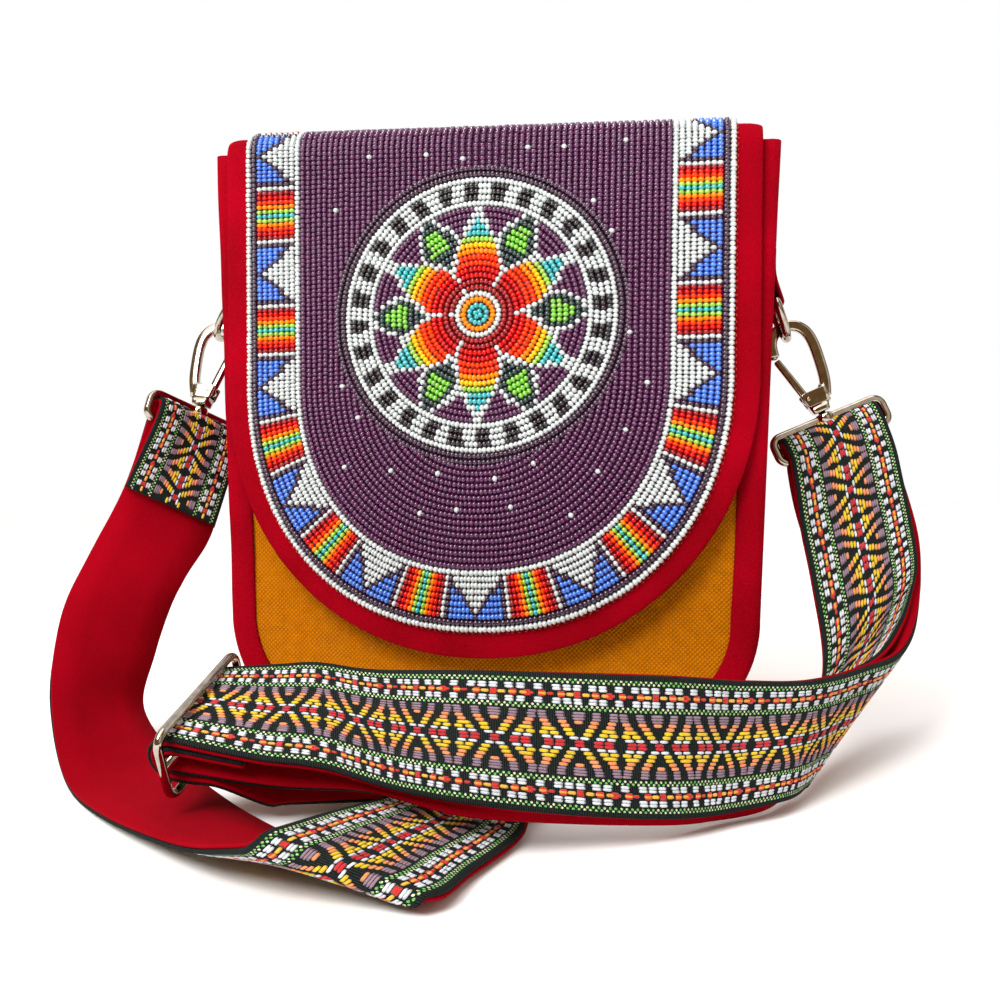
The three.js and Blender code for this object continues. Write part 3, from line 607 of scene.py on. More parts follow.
def lane(half, low, end, sidePoints=70, arcPoints=90, power=flap.power):
    # U from the top left end to the top right end as x and run; its bottom is a superellipse
    run = np.linspace(end, arcRun, sidePoints, endpoint=False)
    widen = flap.widen * np.clip((run - arcRun) / flap.widenRun, 0, 1) * min(1, half / 10)
    side = np.stack([-(half + widen), run], 1)
    a = np.linspace(0, np.pi / 2, arcPoints)
    z = flap.arc - (flap.arc - low) * np.sin(a) ** (2 / power)
    arc = np.stack([-half * np.cos(a) ** (2 / power), frontRun(z)], 1)
    left = np.concatenate([side, arc])
    return np.concatenate([left, left[:-1][::-1] * (-1, 1)])


def flapSheet(half, low, end, off, thick, steps, power=flap.power):
    # outer face inwards from the rim, then the inner face; rounded where the two meet
    steps = np.array(steps)
    rows = [lane(half * (1 - f), mix(low, flap.arc, f), end, power=power) for f in steps / half]
    fall = np.minimum(steps / flap.round, 1)
    swell = thick / 2 * np.sqrt(1 - (1 - fall) ** 2)
    outer, inner = ([onFlap(r[:, 0], r[:, 1], off + thick / 2 + sign * s) for r, s in zip(rows, swell)]
                    for sign in (1, -1))
    grid = np.array(outer[::-1] + inner[1:])
    return grid, [quads(*grid.shape[:2])]


shape = flapSheet(flap.halfLow, flap.bottom, tailRun, 0, flap.thick, flap.steps, flap.clothPower)
piece = fit("flap_cloth", shape, redLook, "flap")
print("flap made")

# beadwork on the flap
ink = Settings(
    white=linear(206, 214, 214), purple=linear(83, 25, 75), plum=linear(54, 24, 52),
    blue=linear(62, 120, 222), darkRed=linear(152, 2, 6), red=linear(202, 6, 0),
    redOrange=linear(240, 56, 0), orange=linear(255, 136, 0), yellow=linear(250, 190, 0),
    lime=linear(146, 200, 44), turquoise=linear(0, 172, 178), black=linear(12, 12, 14),
    darkGreen=linear(4, 46, 44), leaf=linear(112, 196, 28),
)
rainbow = ["white", "darkRed", "red", "redOrange", "orange", "lime"]
rainbow = [*rainbow, "turquoise", *rainbow[::-1]]
# blocks lie closer round the bottom than up the sides: turns counted from the bottom, and the run there
border = Settings(
    blockLanes=7, firstLane=2, rows=15, spread=1.12,
    turns=[0, 1.5, 2.5, 3.75, 4.25, 4.75, 5.27, 8.5],
    leftRuns=[0, 62.7, 108.0, 164.7, 187.4, 210.1, 230.8, 377.5],
    rightRuns=[0, 62.7, 108.0, 166.3, 188.5, 213.2, 236.0, 383.0],
)
# bands and rings end at these distances from the rosette's middle
rosette = Settings(
    z=161.0, radius=56.0, petals=6, first=1.1, room=0.9, outline=2.2,
    petal=(5.5, 37.5, 8.2), leaf=(19.0, 42.0, 6.6), leafInside=(27, 37),
    bands=[14, 18.6, 22, 25, 28, 31],
    bandInks=["darkRed", "red", "redOrange", "orange", "yellow", "lime", "turquoise"],
    heart=[(9.4, "white"), (7.1, "orange"), (4.8, "turquoise")],
    checks=56, checkRing=(42.2, 44.6), rim=[(51.4, "white"), (53.8, "plum")],
)
dots = Settings(
    step=20.0, squash=0.87, columns=4, rows=11, start=30, stray=3.5, half=65.0, drop=68.0,
    near=2.0,
)
rosetteRun = frontRun(rosette.z)


def inkRows(names):
    return np.array([ink[n] for n in names])


def borderColours(j, row):
    # j counts block lanes from the outside, row counts beads from the middle of the bottom triangle
    rows = border.rows
    row = (np.abs(row) + rows / 2) % (rows + len(rainbow))
    band = inkRows(rainbow)[np.clip((row - rows).astype(int), 0, len(rainbow) - 1)]
    t = np.abs(row - rows / 2)
    half = (j - 0.45) * border.spread
    name = np.where((t < half) & (j > 0), 0, np.where((t < half + 1.1) | (t > rows / 2 - 1), 1, 2))
    return np.where((row >= rows)[:, None], band, inkRows(["white", "plum", "blue"])[name])


def leafShape(apart, rho, start, end, width):
    # distance inside a pointed leaf that lies along the radius; negative outside
    t = np.clip((rho - start) / (end - start), 0, 1)
    return width * np.sin(np.pi * t**0.85) ** 0.9 - apart


def rosetteColours(rho, theta):
    # rainbow petals round a dot, leaves between them, and a checked ring round all
    fold = np.pi / rosette.petals
    petal = leafShape(np.abs((theta + fold) % (2 * fold) - fold) * rho, rho, *rosette.petal)
    leaf = leafShape(np.abs(theta % (2 * fold) - fold) * rho, rho, *rosette.leaf)
    colour = np.tile(ink.purple, (len(rho), 1))
    colour[leaf > -rosette.outline] = ink.white
    colour[leaf > 0] = ink.darkGreen
    low, high = rosette.leafInside
    colour[(leaf > rosette.outline) & (rho > low) & (rho < high)] = ink.leaf
    colour[petal > -rosette.outline] = ink.white
    inPetal = petal > 0
    colour[inPetal] = inkRows(rosette.bandInks)[np.searchsorted(rosette.bands, rho[inPetal])]
    for reach, name in rosette.heart:
        colour[rho < reach] = ink[name]
    check = np.floor(theta / (2 * np.pi) * rosette.checks) % 2
    low, high = rosette.checkRing
    ring = rho > high
    colour[ring] = np.where(check[ring, None] > 0, ink.black, ink.white)
    colour[(rho > low) & (rho < high)] = ink.white
    for reach, name in rosette.rim:
        colour[rho > reach] = ink[name]
    return colour


def beadMesh(name, places, colours):
    # places are rows of x, run, direction x and run, room; a barrel lies along its thread
    centre, ahead, side, out = flapFrame(*places.T[:4], bead.off)
    count, rings, sides = len(places), len(bead.ends), bead.sides
    uneven = 1 + bead.uneven * dice.standard_normal((count, 1, 1))
    radius = bead.radius * np.array(bead.girth)[:, None] * uneven
    centre = centre + bead.stray * dice.standard_normal((count, 3))
    phi = np.arange(sides) * 2 * np.pi / sides
    spin = np.cos(phi)[:, None] * side[:, None] + np.sin(phi)[:, None] * out[:, None]
    along = np.array(bead.ends) * places[:, 4:]
    points = centre[:, None, None] + along[:, :, None, None] * ahead[:, None, None]
    points = points + radius[..., None] * spin[:, None]
    base = np.arange(count)[:, None, None] * rings * sides
    ring = np.arange(sides)
    caps = np.stack([ring[::-1], ring + (rings - 1) * sides])
    faces = [(f + base).reshape(-1, f.shape[1])[:, ::-1] for f in (quads(rings, sides, True), caps)]
    shade = colours * (1 + bead.shade * dice.standard_normal((count, 1)))
    tint = np.repeat(shade, rings * sides, 0)
    return fit(name, (points, faces), beadMaterial, "bead_panel", tint=tint, weld=False)


def laneLine(index):
    # one U lane as x, run, and the run from its bottom centre
    inward = index * bead.laneWidth
    line = lane(bead.half - inward, bead.low + inward, beadEnd, 160, 200)
    along = lengths(line)
    return line, along - along[len(along) // 2]


def threaded(index, at):
    # beads of a lane at given runs from the bottom centre
    spot = placed(*laneLine(index), at)
    spot[:, 2:] = unit(spot[:, 2:])
    return np.concatenate([spot, np.abs(np.gradient(at))[:, None]], 1)


def evenBeads(index):
    end = laneLine(index)[1][-1]
    count = int(2 * end / bead.pitch)
    at = (np.arange(count) + 0.5) * 2 * end / count - end
    return threaded(index, at + bead.slip * dice.standard_normal(count))


def blockBeads(index):
    # rows of the blocks lie square to the middle block lane
    middle = laneLine(border.firstLane + border.blockLanes // 2)[1]
    along = laneLine(index)[1]
    perTurn = border.rows + len(rainbow)
    row = np.arange(-8 * perTurn, 8 * perTurn + 1)
    turn = np.abs(row) / perTurn
    left, right = (np.interp(turn, border.turns, border[k]) for k in ("leftRuns", "rightRuns"))
    far = np.where(row < 0, left, right)
    kept = far < middle[-1] - 0.5
    row, far = row[kept], far[kept]
    at = np.sign(row) * np.interp(far, middle[len(middle) // 2:], along[len(along) // 2:])
    return threaded(index, at + bead.blockSlip * dice.standard_normal(len(at))), row


def dotBeads(field):
    # single white beads: the nearest bead to each knot of a loose net that keeps off the border
    step, columns = dots.step, np.arange(-dots.columns, dots.columns + 1)
    rows = np.arange(dots.rows)
    x, r = np.meshgrid(columns * step, rows * step * dots.squash, indexing="ij")
    x = x + np.where(rows % 2, step / 2, 0)[None] - step / 4
    knots = np.stack([x.ravel(), r.ravel() + dots.start], 1)
    knots = knots + dice.uniform(-dots.stray, dots.stray, (x.size, 2))
    below = np.maximum(0, arcRun - knots[:, 1])
    reach = (np.abs(knots[:, 0]) / dots.half) ** flap.power + (below / dots.drop) ** flap.power
    gap = np.linalg.norm(knots[reach < 1][:, None] - field[None, :, :2], axis=-1)
    return gap.argmin(1)[gap.min(1) < dots.near]


def rosetteBeads():
    rows = []
    for k in range(int(rosette.radius / bead.laneWidth) + 1):
        rho = rosette.first + k * bead.laneWidth
        count = max(4, int(round(2 * np.pi * rho / bead.pitch)))
        theta = (np.arange(count) + dice.uniform()) * 2 * np.pi / count
        rows.append(np.stack([np.full(count, rho), theta, np.full(count, 2 * np.pi * rho / count)], 1))
    rho, theta, room = np.concatenate(rows).T
    x, run = rho * np.sin(theta), rosetteRun + rho * np.cos(theta)
    place = np.stack([x, run, np.cos(theta), -np.sin(theta), room], 1)
    return beadMesh("beads_rosette", place, rosetteColours(rho, theta))


def makeBeads():
    inner = border.firstLane + border.blockLanes
    plain = {0: "white", 1: "plum", inner: "white"}
    edge, edgeTint, field = [], [], []
    for index in range(bead.lanes):
        if index > inner:
            place = evenBeads(index)
            away = np.hypot(place[:, 0], place[:, 1] - rosetteRun)
            field.append(place[away > rosette.radius + rosette.room])
        elif index in plain:
            edge.append(evenBeads(index))
            edgeTint.append(np.tile(ink[plain[index]], (len(edge[-1]), 1)))
        else:
            place, row = blockBeads(index)
            edge.append(place)
            edgeTint.append(borderColours(index - border.firstLane, row))
    field = np.concatenate(field)
    tint = np.tile(ink.purple, (len(field), 1))
    tint[dotBeads(field)] = ink.white
    made = [beadMesh("beads_border", np.concatenate(edge), np.concatenate(edgeTint))]
    for side, part in zip(("left", "right"), np.array_split(np.argsort(field[:, 0], kind="stable"), 2)):
        made.append(beadMesh(f"beads_field_{side}", field[part], tint[part]))
    return [*made, rosetteBeads()]


beadPieces = makeBeads()
backingLook = clothLook("bead_backing", "backing", "backingDeep", 3.0, 0.1)
shape = flapSheet(backing.half, backing.low, beadEnd, flap.thick + backing.lift, backing.thick,
                  backing.steps)
piece = fit("bead_backing", shape, backingLook, "bead_panel")
print("beads made:", sum(len(p.data.polygons) for p in beadPieces), "faces")

# strap: the edges of its red face from the left ring to the slider, and the doubled run to the right ring
looseRoute = np.array([
    (-141, -29, 128.5, -122, 4, 114.5), (-150, -34, 98.5, -120.5, -14, 80.8),
    (-154.6, -50.7, 73.2, -121.8, -35.1, 62.6), (-153.5, -68.8, 54.6, -124.7, -42.8, 50),
    (-147.2, -84.9, 36.5, -125.7, -53.2, 32), (-137.5, -99.3, 20.5, -124.2, -63.1, 14.9),
    (-120, -118.3, 4.2, -96.2, -89.2, 4), (-90.1, -146, 3.8, -56.5, -130.3, 3.5),
    (-50.8, -175, 7.5, -21.8, -159.1, 3.5), (-30.1, -187.3, 12, 3.4, -178.7, 3.6),
    (-18.3, -190, 15, 22.2, -191.3, 3.2), (-13.4, -165.6, 11.5, 27.1, -171, 1.5),
    (-6, -134.3, 7, 34.4, -142.2, 1.5), (0.5, -111.8, 8, 34.7, -127.7, 7),
    (5.3, -94.7, 7, 37.9, -115.8, 6), (-4.3, -86.4, 4.2, 24, -111.4, 3.4),
    (-20, -82, 6, -2, -114, 3.2), (-30, -88, 15, -20, -121, 3.6),
    (-46, -104, 25, -41, -137.5, 6),
])
pairRoute = np.array([
    (-62.9, -114.2, 34.5, -65.7, -148.4, 19.5), (-43.4, -114.4, 37, -38.1, -146.3, 15.5),
    (-22.6, -117.5, 40, -12.3, -147, 15), (14.9, -138.7, 45.4, 19.2, -156.3, 14),
    (44.6, -138, 46, 45.8, -147, 10), (70.3, -129.8, 44.7, 72.7, -132.4, 6),
    (93.6, -107, 39.6, 88.4, -118.6, 4), (112, -91, 37, 102, -107.6, 4),
    (130.5, -66, 36.8, 108.6, -96, 4.5), (146.5, -42.6, 38.8, 111.2, -89.2, 6.5),
    (156.2, -24.3, 46, 116.6, -64.7, 10), (162.2, -9.9, 57.8, 123.6, -41.9, 20),
    (164.5, -1, 70.6, 126.9, -27, 37.2), (163.1, 5, 86.3, 124.3, -13, 61.5),
    (158.7, 8, 106, 119.8, -4, 84), (153.4, 8.4, 122.4, 116.4, 0.6, 107),
])
# slip is how far the doubled layers lie aside from each other; rise is the share of the run where they climb
strap = Settings(
    bandHigh=2.4, ringBend=2.3, sliderBend=5.3, innerBend=2.1, tongueSlider=24, tongueLeft=36,
    tongueGap=0.5, slack=4.2, slipFront=2.3, slipRise=2.3, rise=(0.45, 0.75),
    frontRange=(40, 90), endRange=(5, 60), step=1.3, width=40.0, looseSteps=72, pairSteps=56,
)


def strapRun(rows, steps):
    # stations along a route: edges a and b and the face's outward direction at each edge
    last = len(rows) - 1
    t = np.linspace(0, 1, steps + 1) * last
    before, after = (np.clip(t + nudge * last, 0, last) for nudge in (-1e-3, 1e-3))
    edges = rows[:, :3], rows[:, 3:]
    a, b = (through(e, t) for e in edges)
    da, db = (unit(through(e, after) - through(e, before)) for e in edges)
    middle = 0.2 * (da + db)
    na, nb = (unit(np.cross(b - a, 0.6 * d + middle)) for d in (da, db))
    return np.stack([a, b, na, nb], 1)


def shifted(stations, off, sign):
    off = np.reshape(off, (-1, 1)) if np.ndim(off) else off
    a, b, na, nb = (stations[:, k] for k in range(4))
    return np.stack([a + na * off, b + nb * off, na * sign, nb * sign], 1)


def endFrame(station, inward):
    # directions at an end of the strap, which points away from the station further in
    a, b, na, nb = station
    across = unit(b - a)
    normal = unit(na + nb - across * ((na + nb) @ across))
    outward = unit(np.cross(across, normal))
    middle = (a + b) / 2
    if outward @ (middle - (inward[0] + inward[1]) / 2) < 0:
        outward = -outward
    half = np.linalg.norm(b - a) / 2
    return Settings(across=across, normal=normal, outward=outward, middle=middle, half=half)


def halfTurn(station, end, radius, sign, slack=0.0):
    # slack lets the fold stand away from its bar
    angle = np.pi * np.arange(1, 8)[:, None] / 8
    n = end.normal * sign * np.cos(angle) + end.outward * np.sin(angle)
    away = n * radius + end.outward * slack
    return np.stack([station[0] + away, station[1] + away, n, n], 1)


def strapStations():
    loose, pair = strapRun(looseRoute, strap.looseSteps), strapRun(pairRoute, strap.pairSteps)
    looseAlong, pairAlong = (lengths((r[:, 0] + r[:, 1]) / 2) for r in (loose, pair))
    total, bend, tongue = pairAlong[-1], strap.ringBend, strap.tongueSlider

    def offset(sliderSide):  # distance from the middle of the doubled run, wider at the slider and the ring
        near = (sliderSide - 1) * (1 - ease(tongue + 6, tongue + 42, pairAlong))
        return 1 + near + (bend - 1) * ease(total - 30, total - 10, pairAlong)

    leftEnd = shifted(loose[:3], -bend, 1)
    ends = {
        "left": endFrame(leftEnd[0], leftEnd[2]),
        "right": endFrame(pair[-1], pair[-3]),
        "slider": endFrame(pair[0], pair[2]),
    }
    rise = ease(*(share * total for share in strap.rise), pairAlong)
    across = unit(pair[:, 1] - pair[:, 0])
    frontSlip = strap.slipFront * ease(*strap.frontRange, pairAlong) * (1 - rise)
    riseSlip = strap.slipRise * rise * ease(*strap.endRange, total - pairAlong)
    inner = shifted(pair, -offset(strap.innerBend), -1)
    inner[:, :2] += (across * (frontSlip + riseSlip)[:, None])[:, None]
    outer = shifted(pair, offset(strap.sliderBend), 1)
    outer[:, :2] -= (across * riseSlip[:, None])[:, None]
    onTongue = looseAlong <= strap.tongueLeft
    gap = mix(2 * bend, strap.tongueGap, ease(6, strap.tongueLeft, looseAlong[onTongue]))
    return ends, np.concatenate([
        shifted(loose[onTongue], -gap, -1)[::-1],
        halfTurn(leftEnd[0], ends["left"], bend, -1, strap.slack),
        loose,
        shifted(pair[2::-1], -strap.sliderBend, -1),
        halfTurn(pair[0], ends["slider"], strap.sliderBend, -1),
        outer,
        halfTurn(pair[-1], ends["right"], bend, 1, strap.slack),
        inner[::-1],
        halfTurn(pair[0], ends["slider"], strap.innerBend, -1),
        shifted(pair[pairAlong <= tongue], strap.innerBend, 1),
    ])


strapEnds, stations = strapStations()


def strapRow(row):
    flat = through(stations.reshape(len(stations), 12), row).reshape(-1, 4, 3)
    flat[:, 2:] = unit(flat[:, 2:])
    return flat


fineRow = np.linspace(0, len(stations) - 1, 10 * len(stations))
fine = strapRow(fineRow)
middleLine = (fine[:, 0] + fine[:, 1]) / 2
fineRun = lengths(middleLine + strap.bandHigh * unit(fine[:, 2] + fine[:, 3]))  # on the woven face
strapLength = fineRun[-1]


def onStrap(place):
    # rows of across in mm from the middle line, along in mm, and height above the red face
    s = strapRow(np.interp(place[:, 1], fineRun, fineRow))
    t = place[:, :1] / strap.width + 0.5
    return mix(s[:, 0], s[:, 1], t) + unit(mix(s[:, 2], s[:, 3], t)) * place[:, 2:]


def strapLayer(name, outline, look, node):
    # an outline of across and height carried along the strap
    along = np.linspace(0, strapLength, int(strapLength / strap.step))
    outline = np.array(outline)
    across, high = np.tile(outline, (len(along), 1)).T
    flat = np.stack([across, np.repeat(along, len(outline)), high], 1)
    shape = loft(onStrap(flat).reshape(len(along), len(outline), 3))
    flat = np.concatenate([flat, [(0, 0, 0), (0, strapLength, 0)]])
    return fit(name, shape, look, node, flat=flat, weld=False)


weave = Settings(
    base=linear(10, 14, 13), fleck=linear(44, 52, 50), dotGreen=linear(104, 176, 84),
    dotCream=linear(206, 214, 178), dot=0.74, dotReach=0.24, bands=[(9.25, 10.75), (16.75, 18.1)],
    rib=0.62, face=2.2, depth=0.22,
)


def webbingLook():
    # ribbed ground with flecks, with painted shade in the rib troughs; dots sit on every other cell of a fine
    # net within each band
    look = Look("webbing", Roughness=0.9, Specular_IOR_Level=0.1)
    across, along, high = look.parts(look.own("flat"))
    out = across.calc("ABSOLUTE")
    top = high.over(weave.face)
    cell = along / weave.dot
    dotted = []
    for low, upper in weave.bands:
        place = (out - low) / weave.dot
        apart = (place.calc("FRACT") - 0.5) ** 2.0 + (cell.calc("FRACT") - 0.5) ** 2.0
        odd = ((place.calc("FLOOR") + cell.calc("FLOOR")) * 0.5).calc("FRACT").under(0.25)
        dotted.append(odd * apart.under(weave.dotReach) * out.over(low) * out.under(upper) * top)
    dotted = dotted[0] + dotted[1]
    fleck = look.noise(look.own("flat"), 1.4, 2.0)
    ribs = (along * (2 * np.pi / weave.rib)).wave()
    # painted shade: the rib troughs keep the dark base, and the flecks (the yarn's own mottling) show only on
    # the rib crests
    ground = (fleck * ribs * 1.3).blend(weave.base, weave.fleck)
    pick = look.noise(look.own("flat"), 0.9, 1.0).over(0.5)
    look.link("Base Color", dotted.blend(ground, pick.blend(weave.dotGreen, weave.dotCream)))
    look.bump(ribs * 0.5 + dotted, weave.depth)
    return look.material


bandOutline = [
    (-19.75, 1.8), (-19.6, 2.25), (-18.5, 2.4), (-9, 2.4), (0, 2.4), (9, 2.4), (18.5, 2.4), (19.6, 2.25),
    (19.75, 1.8), (19.6, 1.3), (18, 1.2), (0, 1.2), (-18, 1.2), (-19.6, 1.3),
]
liningOutline = [
    (-20, 0.6), (-19.7, 1.1), (-18, 1.1), (0, 1.1), (18, 1.1), (19.7, 1.1), (20, 0.6), (19.7, 0.1), (9, 0),
    (0, 0), (-9, 0), (-19.7, 0.1),
]
band = strapLayer("strap_webbing", bandOutline, webbingLook(), "strap_band")
tape = strapLayer("strap_tape", liningOutline, liningLook, "strap_lining")

# woven figures: colour, place across, width, length as a share of the repeat, places along the repeat
threadInk = Settings(
    white=linear(218, 226, 234), red=linear(204, 6, 28), yellow=linear(236, 198, 8),
    peach=linear(246, 150, 92), mauve=linear(150, 122, 140), gold=linear(244, 184, 52),
    amber=linear(246, 158, 44), flame=linear(206, 30, 20),
)
blocks = [0.738, 0.866, 0.996, 0.182, 0.312, 0.52]  # white blocks in a three, a two and a one
flames = [0.797, 0.996, 0.224, 0.394, 0.56]
figures = [
    ("red", 0.47, 0.95, 0.118, [0.0, 0.23, 0.362, 0.638, 0.77]),
    ("white", 1.5, 0.88, 0.112, [0.064, 0.936, 0.256, 0.39, 0.61, 0.744]),
    ("yellow", 2.6, 1.06, 0.112, [0.103, 0.897, 0.295, 0.425, 0.575, 0.705]),
    ("yellow", 3.72, 1.06, 0.115, [0.132, 0.868]),
    ("yellow", 3.72, 1.06, 0.18, [0.365, 0.635]),
    ("peach", 4.85, 1.04, 0.112, [0.165, 0.835, 0.385, 0.615]),
    ("peach", 5.92, 1.04, 0.11, [0.195, 0.805, 0.41, 0.59, 0.0]),
    ("mauve", 6.88, 0.76, 0.11, [0.215, 0.785, 0.434, 0.566]),
    ("mauve", 7.66, 0.76, 0.11, [0.22, 0.78, 0.438, 0.562]),
    ("mauve", 8.44, 0.76, 0.11, [0.225, 0.775, 0.442, 0.558]),
    ("mauve", 6.88, 0.76, 0.15, [0.0]),
    ("mauve", 7.66, 0.76, 0.165, [0.0]),
    ("mauve", 8.44, 0.76, 0.16, [0.0]),
    ("white", 11.25, 0.9, 0.108, blocks),
    ("white", 12.1, 0.9, 0.108, blocks),
    ("flame", 13.05, 0.7, 0.086, flames),
    ("flame", 14.15, 0.7, 0.086, flames),
    ("gold", 13.6, 1.05, 0.1, [0.9, 0.1]),
    ("amber", 13.6, 1.05, 0.1, [0.797, 0.224, 0.34, 0.56]),
    ("flame", 13.6, 0.9, 0.08, [0.996, 0.43, 0.66]),
    ("white", 15.1, 0.9, 0.108, blocks),
    ("white", 15.95, 0.9, 0.108, blocks),
]
floats = Settings(
    repeat=22.7, start=4.0, margin=1.6, base=2.36, rise=0.34, stray=0.08, shade=0.06,
    pieces=2,
)

# low bar with four corners at each shoulder and a short edge at each tip: across, along, high
barShape = np.array([
    (-1, -0.55, 0), (1, -0.55, 0), (0.55, -0.5, 1), (-0.55, -0.5, 1), (-1, 0.55, 0), (1, 0.55, 0),
    (0.55, 0.5, 1), (-0.55, 0.5, 1), (-0.55, -1, 0.25), (0.55, -1, 0.25), (-0.55, 1, 0.25), (0.55, 1, 0.25),
])
barFour = np.array([
    (3, 2, 6, 7), (2, 1, 5, 6), (0, 3, 7, 4), (1, 0, 4, 5), (8, 9, 2, 3), (9, 8, 0, 1), (11, 10, 7, 6),
    (10, 11, 5, 4),
])
barThree = np.array([(8, 3, 0), (9, 1, 2), (10, 4, 7), (11, 6, 5)])


def barFaces(count):
    base = np.arange(count)[:, None, None] * len(barShape)
    return [(f + base).reshape(-1, f.shape[1]) for f in (barFour, barThree)]


def floatPieces():
    # each float is a low bar along the strap: across, along, half width, half length and colour
    repeat = floats.repeat
    one = np.array([
        (mirror * across, place * repeat, width / 2, length * repeat / 2, *threadInk[colour])
        for colour, across, width, length, places in figures for mirror in (1, -1) for place in places
    ])
    count = int(strapLength / repeat) + 2
    every = np.tile(one, (count, 1))
    every[:, 1] += np.repeat(np.arange(-1, count - 1) * repeat + floats.start, len(one))
    every = every[(every[:, 1] > floats.margin) & (every[:, 1] < strapLength - floats.margin)]
    every[:, 1] += floats.stray * dice.standard_normal(len(every))
    made = []
    for k, part in enumerate(np.array_split(every, floats.pieces)):
        flat = np.empty((len(part), len(barShape), 3))
        flat[..., :2] = part[:, None, :2] + part[:, None, 2:4] * barShape[:, :2]
        flat[..., 2] = floats.base + floats.rise * barShape[:, 2]
        flat = flat.reshape(-1, 3)
        tone = part[:, 4:] * (1 + floats.shade * dice.standard_normal((len(part), 1)))
        tint = np.repeat(tone, len(barShape), 0)
        shape = onStrap(flat), barFaces(len(part))
        made.append(fit(f"strap_floats_{k + 1}", shape, floatMaterial, "strap_band", flat=flat,
                        tint=tint, weld=False))
    return made


floatPieces()

# hardware, set on the strap's ends as in the CAD model; power sets how flat a section's sides are
metal = Settings(
    wire=1.6, hookWire=1.75, barInside=1.2, eyeOut=9.6, ringCorner=3.5, ringPower=3.0,
    bowWire=2.15, bowPower=4.5, bowDepth=0.75, sides=20, crown=40.0, dGap=1.3, dHalf=11.0,
    dCorner=1.5, dReach=14.5,
)
# the hook's bow and gate lie in its plane; turned parts are rows of radius and height
hookParts = Settings(
    bow=[(4.2, 8.5), (6.4, 14.5), (7.7, 22.0), (8.4, 29.5), (7.9, 34.4), (5.9, 38.0), (2.6, 40.0),
            (-1.0, 40.2), (-4.3, 38.6), (-6.6, 35.3), (-7.6, 30.5)],
    pivot=(-3.0, 9.4), tip=(-7.4, 28.7), gateHalf=1.35, cheekOut=2.55, cheekHalf=0.78,
    boss=[(1.9, -1.7), (2.2, -2.0), (2.9, -2.0), (3.4, -1.5), (3.5, 0), (3.4, 1.5), (2.9, 2.0), (2.2, 2.0),
             (1.9, 1.7)],
    stem=[(2.2, -3.8), (2.8, -3.4), (2.8, -2.7), (2.3, -2.4), (1.5, -2.4), (1.5, 3.4)],
    pin=[(0.85, -3.45), (0.9, -3.2), (0.9, 3.2), (0.85, 3.45)],
    nose=[(1.6, 0), (1.5, 0.5), (1.1, 0.9), (0.4, 1.1)],
    gateEye=[(1.25, -1.35), (1.8, -1.35), (2.0, -1.1), (2.0, 1.1), (1.8, 1.35), (1.25, 1.35)],
    cheek=[(6.25, 0, 4.2), (6.4, 0, 4.23), (9.0, -0.1, 4.75), (11.2, -0.2, 5.2), (11.8, -0.2, 4.9),
              (12.0, -0.2, 4.2)],
    foot=[(2.8, 0, 3.0, 0, 2.9), (2.95, 0, 3.3, 0, 3.25), (3.1, 0, 3.4, 0, 3.33), (6.3, 0, 4.2, 0, 3.33)],
    back=[(6.0, 3.4, 1.7, 0, 3.3), (10.6, 3.4, 1.7, 0, 3.25), (12.4, 3.9, 1.5, 0, 2.3),
          (13.6, 4.6, 1.2, 0, 1.2)],
)


def squircle(points, power):
    # closed outline within one unit each way; the higher the power, the flatter its sides
    phi = (np.arange(points) + 0.5) * 2 * np.pi / points
    return [np.sign(v) * np.abs(v) ** (2 / power) for v in (np.cos(phi), np.sin(phi))]


def wire(path, plane, radius, joined, power=2.0, depth=1.0):
    # wire along a path that lies in one plane; power 2 is round, and depth is its size square to the plane
    ahead = np.roll(path, -1, 0) - np.roll(path, 1, 0) if joined else np.gradient(path, axis=0)
    side = unit(np.cross(ahead, plane))
    c, s = (v[None, :, None] for v in squircle(metal.sides, power))
    sections = path[:, None] + radius * (c * side[:, None] + s * depth * plane)
    return hoop(sections) if joined else loft(sections)


def turned(rows, foot, axis, closed=False):
    # rows of radius and height carried round an axis
    rows = np.array(rows, float)
    first = unit(np.cross(axis, (0.31, 0.87, 0.39)))
    phi = np.arange(metal.sides)[None, :, None] * 2 * np.pi / metal.sides
    spin = np.cos(phi) * first + np.sin(phi) * np.cross(axis, first)
    sections = foot + rows[:, None, 1:] * axis + rows[:, None, :1] * spin
    return hoop(sections) if closed else loft(sections)


def roundedLoop(centre, e1, e2, half1, half2, radius, perCorner=8):
    a = np.radians(np.arange(4)[:, None] * 90 + np.linspace(0, 90, perCorner + 1)).ravel()
    c1 = np.repeat([1, -1, -1, 1], perCorner + 1) * (half1 - radius) + radius * np.cos(a)
    c2 = np.repeat([1, 1, -1, -1], perCorner + 1) * (half2 - radius) + radius * np.sin(a)
    return centre + c1[:, None] * e1 + c2[:, None] * e2


def hookFrame(end, back):
    # width, height and depth of a hook, from the eye of its strap ring
    h = end.outward
    w = unit(np.array(back, float) - h * (h @ back))
    q = np.cross(w, h)
    return Settings(h=h, q=q, eye=end.middle + h * metal.eyeOut, axes=np.stack([w, h, q]))


def onHook(hook, places):
    # rows of width, height and depth, put in the frame
    return hook.eye + np.asarray(places, float) @ hook.axes


def cast(hook, rows, power=6.0, points=28):
    # soft-cornered cast block: rows of height, middle and half width, middle and half depth
    c, s = squircle(points, power)
    places = [np.stack([w + hw * c, 0 * c + h, q + hq * s], 1) for h, w, hw, q, hq in rows]
    return loft(onHook(hook, places))


def ringShape(end):
    half2 = (metal.barInside + metal.eyeOut) / 2
    centre = end.middle + end.outward * (metal.eyeOut - metal.barInside) / 2
    half1 = end.half + 1 + metal.wire
    path = roundedLoop(centre, end.across, end.outward, half1, half2, metal.ringCorner)
    eye = end.middle + end.outward * metal.eyeOut
    ring = wire(path, end.normal, metal.wire, True, metal.ringPower)
    return shells(ring, turned(hookParts.boss, eye, end.outward, True))


